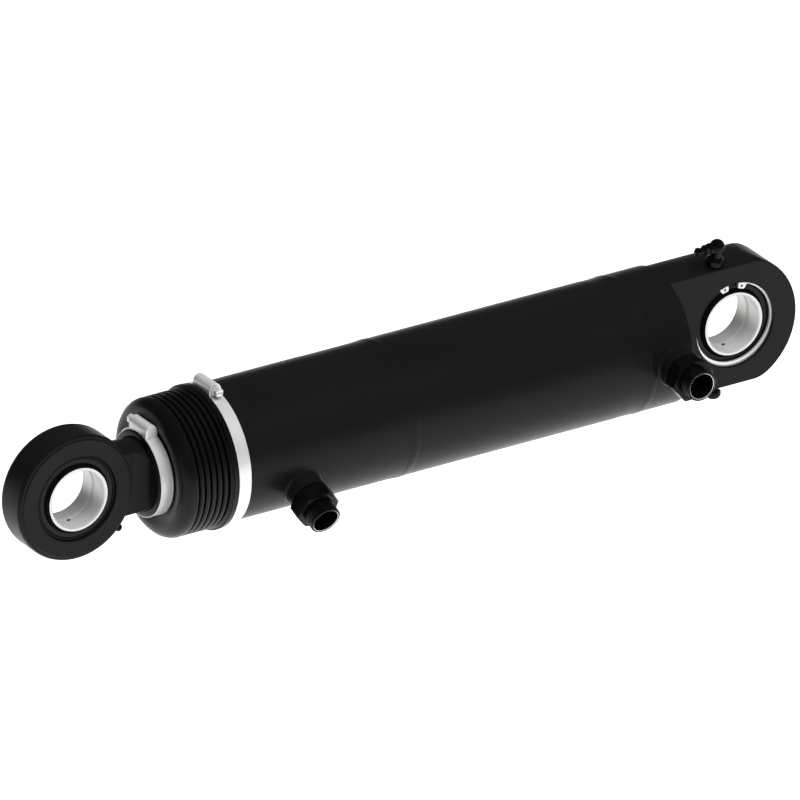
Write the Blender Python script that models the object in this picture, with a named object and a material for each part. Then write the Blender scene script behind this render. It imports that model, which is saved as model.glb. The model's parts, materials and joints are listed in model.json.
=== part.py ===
"""Telescopic hydraulic cylinder with a bellows boot and two spherical-bearing eyes.

Metres, +Z up. The origin is the centre of the base eye's pin. The cylinder's axis is X, and the
rod end points along -X. Both pins lie along Y. The cylinder is closed, which is its rest position.
"""

import math

import bmesh
import bpy
from mathutils import Matrix, Vector

# Overall layout along X
ROD_PIN_X = -0.6354
GAP = 0.0003
SIDES = 20
SMALL_SIDES = 12

# Barrel
BARREL_RADIUS = 0.0585
BORE_RADIUS = 0.050
GLAND_BORE_RADIUS = 0.052
GLAND_BORE_START_X = -0.458
BARREL_FRONT_X = -0.5105
BOOT_SEAT_RADIUS = 0.0577
BOOT_SEAT_START_X = -0.4936
FRONT_WELD_X = -0.3345
REAR_WELD_X = -0.1040
WELD_ROOT_RADIUS = 0.0548
WELD_HALF_WIDTH = 0.0050
WELD_CROWN = 0.0005

# Eyes
BASE_EYE_END_RADIUS = 0.0595
BASE_TONGUE_RADIUS = 0.0576
BASE_TONGUE_HALF = 0.020
BASE_TONGUE_CORNER = 0.026
BASE_SHOULDER_X = -0.0645
SPIGOT_END_X = -0.118
ROD_EYE_RADIUS = 0.0555
ROD_EYE_HALF = 0.0150
ROD_FACE_RADIUS = 0.0515
ROD_FACE_HALF = 0.0160
NECK_RADIUS = 0.0315
NECK_END_X = -0.5540
EYE_FLAT_END_X = ROD_PIN_X + 0.053
BEARING_SEAT_RADIUS = 0.0375
BEARING_LIP_RADIUS = 0.0340
BEARING_HALF_WIDTH = 0.0140
CIRCLIP_GROOVE_RADIUS = 0.0390
CIRCLIP_THICKNESS = 0.0024

# Spherical plain bearings, 50 mm bore
BALL_RADIUS = 0.0330
BALL_BORE_RADIUS = 0.0250
BALL_HALF_WIDTH = 0.0175
RACE_RADIUS = 0.0337
RACE_INSET = 0.0030
BALL_SEAL_GAP = 0.0006

# First moving stage
STAGE_RADIUS = 0.0360
STAGE_BORE_RADIUS = 0.0295
STAGE_REAR_X = -0.122
STAGE_PISTON_LENGTH = 0.030
STAGE_PISTON_RADIUS = 0.0494
STAGE_FRONT_X = -0.546

# Rod
ROD_RADIUS = 0.0225
ROD_SHOULDER_X = NECK_END_X + GAP
ROD_STUB_RADIUS = 0.0155
ROD_STUB_LENGTH = 0.0175
PISTON_SHOULDER_X = -0.1720
PISTON_STUB_RADIUS = 0.0140
PISTON_STUB_END_X = -0.1300
ROD_PISTON_RADIUS = 0.0290
ROD_PISTON_LENGTH = 0.0260
NUT_ACROSS_FLATS = 0.036
NUT_THICKNESS = 0.0110

# Seals: each ring sits in a groove with a small gap all round
SEAL_DEPTH = 0.0040

# Ports: distances from the barrel's axis, along the port
PORT_BOSS_RADIUS = 0.0163
PORT_BOSS_TOP = 0.0690
PORT_PASSAGE_RADIUS = 0.0060
PORT_THREAD_RADIUS = 0.0105
PORT_SEAL_THICKNESS = 0.0012
PORT_SEAL_RADIUS = 0.0152
PORT_HEX_FLATS = 0.0345
PORT_HEX_THICKNESS = 0.0150
PORT_HEX_FACE_RADIUS = 0.0186
PORT_HEX_CORNER_RADIUS = 0.0202
PORT_HEX_CHAMFER = 0.0013
PORT_SEAT = 0.0615
PORT_TIP = 0.0980
PORT_MALE_RADIUS = 0.0135
PORT_MOUTH_RADIUS = 0.0115
PORTS = {"front": (-0.4420, 23.5), "rear": (-0.0822, 2.5)}

# Bellows boot
BOOT_FRONT_X = -0.5700
BOOT_CREST_RADIUS = 0.0595
BOOT_VALLEY_RADIUS = 0.0560
BOOT_INNER_RADIUS = 0.0400
BOOT_FIRST_GROOVE_X = -0.5440
BOOT_GROOVE_PITCH = 0.0057
BOOT_GROOVES = 6
BOOT_CUFF_RADIUS = 0.0617
BOOT_END_X = -0.4940

# Worm-drive clamps
CLAMP_WIDTH = 0.0116
CLAMP_THICKNESS = 0.0007
BARREL_CLAMP_X = -0.5012
BARREL_CLAMP_RADIUS = 0.0605
ROD_CLAMP_X = -0.5622
ROD_CLAMP_RADIUS = 0.0375
CLAMP_HOUSING_LENGTH = 0.0264
CLAMP_SADDLE_LENGTH = 0.0160
CLAMP_SCREW_RADIUS = 0.0028
CLAMP_SCREW_LIFT = 0.0032
CLAMP_SHELL = 0.0016
CLAMP_HEAD_FLATS = 0.0072
CLAMP_HEAD_LENGTH = 0.0062

# Lubrication fittings
ELBOW_X = -0.0165
ELBOW_TILT = 13.0
PLUG_X = -0.0175
PLUG_TILT = 167.0
NIPPLE_TILT = 42.5
FITTING_HOLE_RADIUS = 0.0044
FITTING_STUB_RADIUS = 0.0040
FITTING_STUB_END = 0.0490

# Finishes: colour, roughness, metallic
FINISHES = {
    "black_paint": ((0.012, 0.012, 0.012), 0.42, 0.0),
    "black_zinc": ((0.006, 0.006, 0.006), 0.25, 0.6),
    "boot_rubber": ((0.015, 0.015, 0.017), 0.55, 0.0),
    "zinc_plate": ((0.80, 0.80, 0.79), 0.30, 1.0),
    "bearing_steel": ((0.72, 0.72, 0.72), 0.18, 1.0),
    "dark_steel": ((0.10, 0.10, 0.10), 0.35, 1.0),
    "hard_chrome": ((0.75, 0.76, 0.78), 0.08, 1.0),
    "seal_polymer": ((0.05, 0.09, 0.14), 0.50, 0.0),
    "bronze_guide": ((0.35, 0.20, 0.07), 0.45, 0.6),
    "iron_casting": ((0.16, 0.15, 0.14), 0.60, 0.8),
}


def clear_scene():
    """Removes whatever the scene holds."""
    for obj in list(bpy.data.objects):
        bpy.data.objects.remove(obj, do_unlink=True)


def finish(name, slot):
    """Gives each sub-part its own material in the slot's finish."""
    colour, roughness, metallic = FINISHES[slot]
    material = bpy.data.materials.new(f"{name}_{slot}")
    material.use_nodes = True
    shader = material.node_tree.nodes["Principled BSDF"]
    shader.inputs["Base Color"].default_value = (*colour, 1.0)
    shader.inputs["Roughness"].default_value = roughness
    shader.inputs["Metallic"].default_value = metallic
    return material


def link(name, bm, slot=None):
    """Turns a bmesh into a smooth-shaded object, or into a hidden cutter if it has no finish."""
    bmesh.ops.remove_doubles(bm, verts=bm.verts, dist=1e-6)
    bmesh.ops.recalc_face_normals(bm, faces=bm.faces)
    mesh = bpy.data.meshes.new(name)
    bm.to_mesh(mesh)
    bm.free()
    mesh.shade_smooth()
    mesh.set_sharp_from_angle(angle=math.radians(30))
    obj = bpy.data.objects.new(name, mesh)
    bpy.context.scene.collection.objects.link(obj)
    if slot:
        mesh.materials.append(finish(name, slot))
    else:
        obj.hide_render = True
        obj.display_type = "WIRE"
    return obj


def axis_frame(axis, origin):
    """The matrix that takes local Z to an axis and the local origin to a point."""
    turn = Vector((0, 0, 1)).rotation_difference(Vector(axis).normalized())
    return Matrix.Translation(Vector(origin)) @ turn.to_matrix().to_4x4()


def turned(name, profile, axis, origin=(0, 0, 0), slot=None, sides=SIDES):
    """A solid of revolution. The profile lists (distance along the axis, radius).

    A profile that begins and ends at radius 0 is solid. Any other is closed into a ring.
    """
    solid = profile[0][1] == 0 and profile[-1][1] == 0
    bm = bmesh.new()
    points = [bm.verts.new((radius, 0, along)) for along, radius in profile]
    ends = points[1:] if solid else points[1:] + points[:1]
    edges = [bm.edges.new(pair) for pair in zip(points, ends)]
    bmesh.ops.spin(
        bm,
        geom=points + edges,
        cent=(0, 0, 0),
        axis=(0, 0, 1),
        angle=math.tau,
        steps=sides,
        use_duplicate=False,
    )
    bm.transform(axis_frame(axis, origin))
    return link(name, bm, slot)


def rod_like(name, start, end, radius, slot=None, sides=SIDES):
    """A plain round bar between two points."""
    start, end = Vector(start), Vector(end)
    length = (end - start).length
    profile = [(0, 0), (0, radius), (length, radius), (length, 0)]
    return turned(name, profile, end - start, start, slot, sides)


def extruded(name, outline, low, high, slot=None, frame=None):
    """A closed outline in the local XY plane, extruded from low to high along local Z."""
    bm = bmesh.new()
    face = bm.faces.new([bm.verts.new((x, y, low)) for x, y in outline])
    grown = bmesh.ops.extrude_face_region(bm, geom=[face])["geom"]
    moved = [item for item in grown if isinstance(item, bmesh.types.BMVert)]
    bmesh.ops.translate(bm, verts=moved, vec=(0, 0, high - low))
    if frame:
        bm.transform(frame)
    return link(name, bm, slot)


def arc(radius, start, end, count, centre=(0, 0)):
    """Points on an arc, with its angles in degrees."""
    turns = [math.radians(start + (end - start) * i / count) for i in range(count + 1)]
    return [(centre[0] + radius * math.cos(t), centre[1] + radius * math.sin(t)) for t in turns]


def hexagon(across_flats):
    return arc(across_flats / math.sqrt(3), 0, 300, 5)


def boolean(obj, other, operation):
    """Applies a Boolean as a modifier and hides its operand."""
    other.hide_render = True
    other.display_type = "WIRE"
    modifier = obj.modifiers.new(f"{operation.lower()} {other.name}", "BOOLEAN")
    modifier.operation = operation
    modifier.solver = "EXACT"
    modifier.object = other


def cut(obj, *cutters):
    for cutter in cutters:
        boolean(obj, cutter, "DIFFERENCE")


def join(obj, *others):
    for other in others:
        boolean(obj, other, "UNION")


def keep(obj, *others):
    for other in others:
        boolean(obj, other, "INTERSECT")


def ring(name, start, end, inner, outer, axis, origin, slot):
    """A plain ring of rectangular section."""
    profile = [(start, inner), (start, outer), (end, outer), (end, inner)]
    return turned(name, profile, axis, origin, slot)


def grooved(start, end, radius, grooves, depth):
    """A cylinder line from start to end with square grooves, each given as (middle, width)."""
    points = [(start, radius)]
    for middle, width in grooves:
        half = math.copysign(width / 2, end - start)
        points += [(middle - half, radius), (middle - half, radius + depth)]
        points += [(middle + half, radius + depth), (middle + half, radius)]
    return points + [(end, radius)]


def seal(name, middle, width, radius, depth, slot):
    """A ring for one of the grooves of grooved(), a gap smaller all round."""
    sign = math.copysign(1, depth)
    inner = radius + sign * GAP * -0.5
    outer = radius + depth - sign * GAP
    low, high = sorted((inner, outer))
    half = width / 2 - GAP
    return ring(name, middle - half, middle + half, low, high, (1, 0, 0), (0, 0, 0), slot)


# Barrel ------------------------------------------------------------------------------------------

TUBE_REAR_X = REAR_WELD_X - 0.0005
TUBE_FRONT_X = FRONT_WELD_X + 0.0005
HEAD_REAR_X = FRONT_WELD_X - 0.0005


def port_direction(tilt):
    """A port leaves the barrel towards -Y, turned down by its tilt."""
    return Vector((0, -math.cos(math.radians(tilt)), -math.sin(math.radians(tilt))))


def port_hole(name, x, tilt, depth_from):
    """The drilled oil passage through the wall under a port."""
    line = port_direction(tilt)
    base = Vector((x, 0, 0))
    return rod_like(name, base + line * depth_from, base + line * 0.064, PORT_PASSAGE_RADIUS, sides=16)


def barrel_tube():
    """The rear length of the barrel, with the dip turned next to the base cap's weld."""
    chamfer = WELD_HALF_WIDTH - 0.0003
    profile = [
        (TUBE_REAR_X, BORE_RADIUS),
        (TUBE_REAR_X, WELD_ROOT_RADIUS),
        (REAR_WELD_X - chamfer, BARREL_RADIUS),
        (-0.1110, BARREL_RADIUS),
        (-0.1118, BARREL_RADIUS - 0.0005),
        (-0.1222, BARREL_RADIUS - 0.0005),
        (-0.1230, BARREL_RADIUS),
        (FRONT_WELD_X + chamfer, BARREL_RADIUS),
        (TUBE_FRONT_X, WELD_ROOT_RADIUS),
        (TUBE_FRONT_X, BORE_RADIUS),
    ]
    return turned("barrel_tube", profile, (1, 0, 0), slot="black_paint")


def barrel_head():
    """The front length of the barrel: gland bore, recessed band, boot seat and front port hole."""
    chamfer = WELD_HALF_WIDTH - 0.0003
    profile = [
        (HEAD_REAR_X, BORE_RADIUS),
        (HEAD_REAR_X, WELD_ROOT_RADIUS),
        (FRONT_WELD_X - chamfer, BARREL_RADIUS),
        (-0.3412, BARREL_RADIUS),
        (-0.3420, BARREL_RADIUS - 0.0006),
        (-0.3952, BARREL_RADIUS - 0.0006),
        (-0.3960, BARREL_RADIUS),
        (BOOT_SEAT_START_X, BARREL_RADIUS),
        (BOOT_SEAT_START_X, BOOT_SEAT_RADIUS),
        (BARREL_FRONT_X + 0.001, BOOT_SEAT_RADIUS),
        (BARREL_FRONT_X, BOOT_SEAT_RADIUS - 0.001),
        (BARREL_FRONT_X, GLAND_BORE_RADIUS),
        (GLAND_BORE_START_X, GLAND_BORE_RADIUS),
        (GLAND_BORE_START_X + 0.002, BORE_RADIUS),
    ]
    head = turned("barrel_head", profile, (1, 0, 0), slot="black_paint")
    cut(head, port_hole("front_wall_hole", *PORTS["front"], 0.045))
    return head


def weld_bead(name, x):
    """A weld run that fills the V between two chamfered ends and stands a little proud."""
    top = BARREL_RADIUS + GAP
    profile = [
        (x, WELD_ROOT_RADIUS + 0.0003),
        (x - WELD_HALF_WIDTH + 0.0001, top),
        (x - WELD_HALF_WIDTH * 0.5, BARREL_RADIUS + WELD_CROWN),
        (x + WELD_HALF_WIDTH * 0.5, BARREL_RADIUS + WELD_CROWN),
        (x + WELD_HALF_WIDTH - 0.0001, top),
    ]
    return turned(name, profile, (1, 0, 0), slot="black_paint")


GLAND_GROOVES = {
    "gland_wiper": (-0.5050, 0.0060, "seal_polymer"),
    "gland_rod_seal": (-0.4930, 0.0080, "seal_polymer"),
    "gland_wear_ring": (-0.4740, 0.0150, "bronze_guide"),
}
GLAND_INNER_RADIUS = STAGE_RADIUS + 0.0005
GLAND_OUTER_RADIUS = GLAND_BORE_RADIUS - GAP
GLAND_O_RING_X = -0.4660
GLAND_O_RING_WIDTH = 0.0045
GLAND_O_RING_DEPTH = 0.0032


def gland():
    """The gland that screws into the barrel's front and guides the first stage."""
    rear = GLAND_BORE_START_X - GAP
    grooves = [place[:2] for place in GLAND_GROOVES.values()]
    inside = grooved(BARREL_FRONT_X, rear, GLAND_INNER_RADIUS, grooves, SEAL_DEPTH)
    groove = [(GLAND_O_RING_X, GLAND_O_RING_WIDTH)]
    outside = grooved(rear, BARREL_FRONT_X, GLAND_OUTER_RADIUS, groove, -GLAND_O_RING_DEPTH)
    body = turned("gland", inside + outside, (1, 0, 0), slot="iron_casting")
    for side in (-1, 1):
        hole = rod_like(
            f"gland_spanner_hole_{side}",
            (BARREL_FRONT_X - 0.002, side * 0.0465, 0),
            (BARREL_FRONT_X + 0.006, side * 0.0465, 0),
            0.0022,
            sides=12,
        )
        cut(body, hole)
    return body


def gland_rings():
    for name, (middle, width, slot) in GLAND_GROOVES.items():
        seal(name, middle, width, GLAND_INNER_RADIUS, SEAL_DEPTH, slot)
    seal(
        "gland_o_ring",
        GLAND_O_RING_X,
        GLAND_O_RING_WIDTH,
        GLAND_OUTER_RADIUS,
        -GLAND_O_RING_DEPTH,
        "boot_rubber",
    )


# Base eye ----------------------------------------------------------------------------------------


def base_dome():
    """The turned end cap: spigot, weld chamfer, full-size cylinder and domed shoulder."""
    chamfer_x = REAR_WELD_X + WELD_HALF_WIDTH - 0.0003
    profile = [
        (SPIGOT_END_X, 0),
        (SPIGOT_END_X, BORE_RADIUS - GAP),
        (REAR_WELD_X + 0.0005, BORE_RADIUS - GAP),
        (REAR_WELD_X + 0.0005, WELD_ROOT_RADIUS),
        (chamfer_x, BARREL_RADIUS),
        (BASE_SHOULDER_X - 0.001, BARREL_RADIUS),
        (BASE_SHOULDER_X, BARREL_RADIUS - 0.001),
        (BASE_SHOULDER_X, 0.0560),
        (-0.0630, 0.0510),
        (-0.0565, 0.0400),
        (-0.0515, 0.0275),
        (-0.0450, 0.0170),
        (-0.0450, 0),
    ]
    return turned("base_eye", profile, (1, 0, 0), slot="black_paint")


def base_tongue():
    """The milled tongue: flat on both sides, round on its end and on its edges."""
    top = math.sqrt(BASE_TONGUE_RADIUS**2 - BASE_TONGUE_HALF**2)
    gap = BASE_EYE_END_RADIUS - BASE_TONGUE_CORNER
    middle = (math.sqrt(gap**2 - (top - BASE_TONGUE_CORNER) ** 2), top - BASE_TONGUE_CORNER)
    bend = math.degrees(math.atan2(middle[1], middle[0]))
    upper = arc(BASE_TONGUE_CORNER, bend, 90, 4, middle)
    lower = [(x, -z) for x, z in reversed(upper)]
    outline = [(-0.075, -0.0588), (middle[0] - 0.004, -0.0588)] + lower
    outline += arc(BASE_EYE_END_RADIUS, -bend, bend, 10)[1:-1] + upper
    outline += [(middle[0] - 0.004, 0.0588), (-0.075, 0.0588)]
    across = Matrix.Rotation(math.radians(90), 4, "X")
    tongue = extruded("base_tongue_plate", outline, -BASE_TONGUE_HALF, BASE_TONGUE_HALF, frame=across)
    keep(tongue, rod_like("base_tongue_round", (-0.080, 0, 0), (0.065, 0, 0), BASE_TONGUE_RADIUS))
    return tongue


def bearing_seat(name, x, face_half, circlip):
    """The stepped bore that holds a spherical bearing, open towards -Y, with a lip at +Y."""
    front = -face_half
    seat_end = BEARING_HALF_WIDTH + GAP
    profile = [(front - 0.001, 0), (front - 0.001, BEARING_SEAT_RADIUS + 0.0018)]
    profile += [(front + 0.0008, BEARING_SEAT_RADIUS)]
    if circlip:
        groove_rear = -BEARING_HALF_WIDTH - GAP / 2
        groove_front = groove_rear - CIRCLIP_THICKNESS - 2 * GAP
        profile += [(groove_front, BEARING_SEAT_RADIUS), (groove_front, CIRCLIP_GROOVE_RADIUS)]
        profile += [(groove_rear, CIRCLIP_GROOVE_RADIUS), (groove_rear, BEARING_SEAT_RADIUS)]
    profile += [(seat_end, BEARING_SEAT_RADIUS), (seat_end, BEARING_LIP_RADIUS)]
    profile += [(face_half + 0.001, BEARING_LIP_RADIUS), (face_half + 0.001, 0)]
    return turned(name, profile, (0, 1, 0), (x, 0, 0))


def radial_direction(tilt):
    """A direction from the axis, tilted from +Z towards -Y."""
    return Vector((0, -math.sin(math.radians(tilt)), math.cos(math.radians(tilt))))


def fitting_hole(name, foot, line, depth_from, depth_to):
    """A tapped hole for a lubrication fitting, with a thin feed to the bearing."""
    foot = Vector(foot)
    wide = rod_like(name, foot + line * depth_to, foot + line * 0.070, FITTING_HOLE_RADIUS, sides=12)
    feed_ends = foot + line * depth_from, foot + line * (depth_to + 0.001)
    feed = rod_like(f"{name}_feed", *feed_ends, 0.0015, sides=8)
    return wide, feed


def base_eye():
    eye = base_dome()
    join(eye, base_tongue())
    cut(eye, bearing_seat("base_seat", 0, BASE_TONGUE_HALF, True))
    x, tilt = PORTS["rear"]
    cut(eye, port_hole("rear_cross_hole", x, tilt, -0.008))
    cut(eye, rod_like("rear_axial_hole", (SPIGOT_END_X - 0.002, 0, 0), (x + 0.004, 0, 0), 0.0070, sides=16))
    cut(eye, *fitting_hole("elbow_hole", (ELBOW_X, 0, 0), radial_direction(ELBOW_TILT), 0.0300, 0.0460))
    cut(eye, *fitting_hole("plug_hole", (PLUG_X, 0, 0), radial_direction(PLUG_TILT), 0.0300, 0.0460))
    return eye


# Rod eye -----------------------------------------------------------------------------------------


def rod_eye():
    """The forged eye: a disc with a raised turned face, blended into a round neck."""
    disc_profile = [
        (-ROD_FACE_HALF, 0),
        (-ROD_FACE_HALF, ROD_FACE_RADIUS),
        (-ROD_EYE_HALF, ROD_FACE_RADIUS + 0.0008),
        (-ROD_EYE_HALF + 0.0010, ROD_EYE_RADIUS - 0.0012),
        (-ROD_EYE_HALF + 0.0028, ROD_EYE_RADIUS),
        (ROD_EYE_HALF - 0.0028, ROD_EYE_RADIUS),
        (ROD_EYE_HALF - 0.0010, ROD_EYE_RADIUS - 0.0012),
        (ROD_EYE_HALF, ROD_FACE_RADIUS + 0.0008),
        (ROD_FACE_HALF, ROD_FACE_RADIUS),
        (ROD_FACE_HALF, 0),
    ]
    pin = (ROD_PIN_X, 0, 0)
    eye = turned("rod_eye", disc_profile, (0, 1, 0), pin, "black_paint")
    fillet = 0.0125
    flat = ROD_EYE_HALF - 0.0004
    corner = flat + fillet
    side = arc(fillet, -90, 0, 6, (EYE_FLAT_END_X, corner))
    upper = [(ROD_PIN_X + 0.0205, flat)] + side
    upper += [(side[-1][0], NECK_RADIUS + 0.002), (NECK_END_X - 0.0012, NECK_RADIUS + 0.002)]
    upper += [(NECK_END_X, NECK_RADIUS - 0.0012)]
    outline = upper + [(x, -y) for x, y in reversed(upper)]
    neck = extruded("rod_eye_neck", outline, -0.034, 0.034)
    keep(neck, rod_like("rod_neck_round", (ROD_PIN_X - 0.02, 0, 0), (NECK_END_X + 0.002, 0, 0), NECK_RADIUS))
    join(eye, neck)
    cut(eye, bearing_seat("rod_seat", ROD_PIN_X, ROD_FACE_HALF, False))
    socket_end = (NECK_END_X - ROD_STUB_LENGTH - GAP, 0, 0)
    cut(eye, rod_like("rod_socket", socket_end, (NECK_END_X + 0.002, 0, 0), ROD_STUB_RADIUS + GAP))
    cut(eye, *fitting_hole("nipple_hole", pin, nipple_line(), 0.0300, 0.0460))
    return eye


def nipple_line():
    """The rod eye's nipple leaves its rim towards the barrel, turned down."""
    tilt = math.radians(NIPPLE_TILT)
    return Vector((math.cos(tilt), 0, -math.sin(tilt)))


# Spherical bearings ------------------------------------------------------------------------------


def sphere_line(radius, start, end, count):
    """Points (along, radius) on a sphere between two distances from its centre."""
    places = [start + (end - start) * i / count for i in range(count + 1)]
    return [(along, math.sqrt(radius * radius - along * along)) for along in places]


def spherical_bearing(end, x):
    """The outer ring, the ball with its bore, and a seal on each side."""
    origin = (x, 0, 0)
    along = (0, 1, 0)
    half = BEARING_HALF_WIDTH - GAP / 2
    outer = BEARING_SEAT_RADIUS - GAP
    race_half = half - RACE_INSET
    race = sphere_line(RACE_RADIUS, -race_half, race_half, 4)
    lip = outer - 0.0022
    profile = [(-half, lip), (-race_half, lip)] + race + [(race_half, lip), (half, lip)]
    profile += [(half, outer - 0.0006), (half - 0.0006, outer)]
    profile += [(-half + 0.0006, outer), (-half, outer - 0.0006)]
    turned(f"{end}_bearing_outer_ring", profile, along, origin, "dark_steel")
    ball = sphere_line(BALL_RADIUS, -BALL_HALF_WIDTH, BALL_HALF_WIDTH, 6)
    ball += [(BALL_HALF_WIDTH, BALL_BORE_RADIUS + 0.0008), (BALL_HALF_WIDTH - 0.0008, BALL_BORE_RADIUS)]
    ball += [(-BALL_HALF_WIDTH + 0.0008, BALL_BORE_RADIUS), (-BALL_HALF_WIDTH, BALL_BORE_RADIUS + 0.0008)]
    turned(f"{end}_bearing_ball", ball, along, origin, "bearing_steel")
    for side, sign in (("front", -1), ("back", 1)):
        inner_at = sign * (race_half + GAP)
        outer_at = sign * (half - 0.0002)
        touch_in = math.sqrt(BALL_RADIUS**2 - inner_at**2) + BALL_SEAL_GAP
        touch_out = math.sqrt(BALL_RADIUS**2 - outer_at**2) + BALL_SEAL_GAP
        section = [(inner_at, touch_in), (inner_at, lip - GAP), (outer_at, lip - GAP), (outer_at, touch_out)]
        turned(f"{end}_bearing_{side}_seal", section, along, origin, "boot_rubber")


def base_circlip():
    """The internal retaining ring in front of the base bearing, open at the top with two lugs."""
    outer, inner, lug = 0.0381, 0.0345, 0.0305
    opening, lug_end = 7.0, 16.0
    outline = arc(outer, 90 + opening, 450 - opening, 28)
    outline += arc(lug, 90 - opening, 90 - lug_end, 3)
    outline += arc(inner, 90 - lug_end, 90 + lug_end - 360, 24)
    outline += arc(lug, 90 + lug_end - 360, 90 + opening - 360, 3)
    across = Matrix.Rotation(math.radians(90), 4, "X")
    near = BEARING_HALF_WIDTH + GAP * 1.5
    clip = extruded("base_circlip", outline, near, near + CIRCLIP_THICKNESS, "zinc_plate", across)
    for side in (-1, 1):
        turn = math.radians(90 + side * (opening + lug_end) / 2)
        spot = Vector((0.0333 * math.cos(turn), 0, 0.0333 * math.sin(turn)))
        hole = rod_like(f"lug_hole_{side}", spot + Vector((0, -0.02, 0)), spot, 0.00125, sides=10)
        cut(clip, hole)
    return clip


# Moving stages -----------------------------------------------------------------------------------

STAGE_PISTON_GROOVES = {
    "stage_1_wear_ring": (-0.1290, 0.0080, "bronze_guide"),
    "stage_1_piston_seal": (-0.1420, 0.0090, "seal_polymer"),
}
STAGE_GLAND_GROOVES = {
    "stage_1_gland_wiper": (-0.5440, 0.0050, "seal_polymer"),
    "stage_1_gland_seal": (-0.5350, 0.0060, "seal_polymer"),
    "stage_1_gland_bush": (-0.5245, 0.0080, "bronze_guide"),
}
STAGE_GLAND_INNER = ROD_RADIUS + 0.0004
STAGE_GLAND_DEPTH = 0.0034
STAGE_GLAND_REAR_X = -0.5180
ROD_PISTON_GROOVES = {
    "rod_piston_wear_ring": (-0.1535, 0.0070, "bronze_guide"),
    "rod_piston_seal": (-0.1640, 0.0070, "seal_polymer"),
}
ROD_PISTON_DEPTH = 0.0036


def stage_1():
    """The first moving stage: a chromed tube with its piston head at the rear."""
    head_end = STAGE_REAR_X - STAGE_PISTON_LENGTH
    grooves = [place[:2] for place in STAGE_PISTON_GROOVES.values()]
    outside = grooved(STAGE_REAR_X, head_end, STAGE_PISTON_RADIUS, grooves, -SEAL_DEPTH)
    profile = [(STAGE_REAR_X, STAGE_BORE_RADIUS)] + outside
    profile += [(head_end, STAGE_RADIUS), (STAGE_FRONT_X + 0.001, STAGE_RADIUS)]
    profile += [(STAGE_FRONT_X, STAGE_RADIUS - 0.001), (STAGE_FRONT_X, STAGE_BORE_RADIUS)]
    turned("stage_1_tube", profile, (1, 0, 0), slot="hard_chrome")
    for name, (middle, width, slot) in STAGE_PISTON_GROOVES.items():
        seal(name, middle, width, STAGE_PISTON_RADIUS, -SEAL_DEPTH, slot)


def stage_1_gland():
    """The collar in the first stage's front, which guides and seals the rod."""
    collar_rear = STAGE_FRONT_X - GAP
    collar_front = collar_rear - 0.0030
    grooves = [place[:2] for place in STAGE_GLAND_GROOVES.values()]
    inside = grooved(collar_front, STAGE_GLAND_REAR_X, STAGE_GLAND_INNER, grooves, STAGE_GLAND_DEPTH)
    outer = STAGE_BORE_RADIUS - GAP
    outside = [(STAGE_GLAND_REAR_X, outer), (collar_rear, outer)]
    outside += [(collar_rear, STAGE_RADIUS - 0.0005), (collar_front, STAGE_RADIUS - 0.0005)]
    turned("stage_1_gland", inside + outside, (1, 0, 0), slot="iron_casting")
    for name, (middle, width, slot) in STAGE_GLAND_GROOVES.items():
        seal(name, middle, width, STAGE_GLAND_INNER, STAGE_GLAND_DEPTH, slot)


def rod():
    """The rod, with a stub for the eye in front and one for its piston at the rear."""
    stub_end = NECK_END_X - ROD_STUB_LENGTH
    profile = [
        (stub_end, 0),
        (stub_end, ROD_STUB_RADIUS),
        (ROD_SHOULDER_X, ROD_STUB_RADIUS),
        (ROD_SHOULDER_X, ROD_RADIUS),
        (PISTON_SHOULDER_X, ROD_RADIUS),
        (PISTON_SHOULDER_X, PISTON_STUB_RADIUS),
        (PISTON_STUB_END_X, PISTON_STUB_RADIUS),
        (PISTON_STUB_END_X, 0),
    ]
    turned("rod", profile, (1, 0, 0), slot="hard_chrome")


def rod_piston():
    """The rod's piston, its seal and guide ring, and the nut that holds it."""
    front = PISTON_SHOULDER_X + GAP
    rear = front + ROD_PISTON_LENGTH
    bore = PISTON_STUB_RADIUS + GAP
    grooves = [place[:2] for place in reversed(ROD_PISTON_GROOVES.values())]
    outside = grooved(front, rear, ROD_PISTON_RADIUS, grooves, -ROD_PISTON_DEPTH)
    turned("rod_piston", outside + [(rear, bore), (front, bore)], (1, 0, 0), slot="iron_casting")
    for name, (middle, width, slot) in ROD_PISTON_GROOVES.items():
        seal(name, middle, width, ROD_PISTON_RADIUS, -ROD_PISTON_DEPTH, slot)
    frame = axis_frame((1, 0, 0), (rear + GAP, 0, 0))
    nut = extruded("piston_nut", hexagon(NUT_ACROSS_FLATS), 0, NUT_THICKNESS, "dark_steel", frame)
    cut(nut, rod_like("nut_bore", (rear - 0.01, 0, 0), (rear + 0.03, 0, 0), bore))


# Ports -------------------------------------------------------------------------------------------


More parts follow.
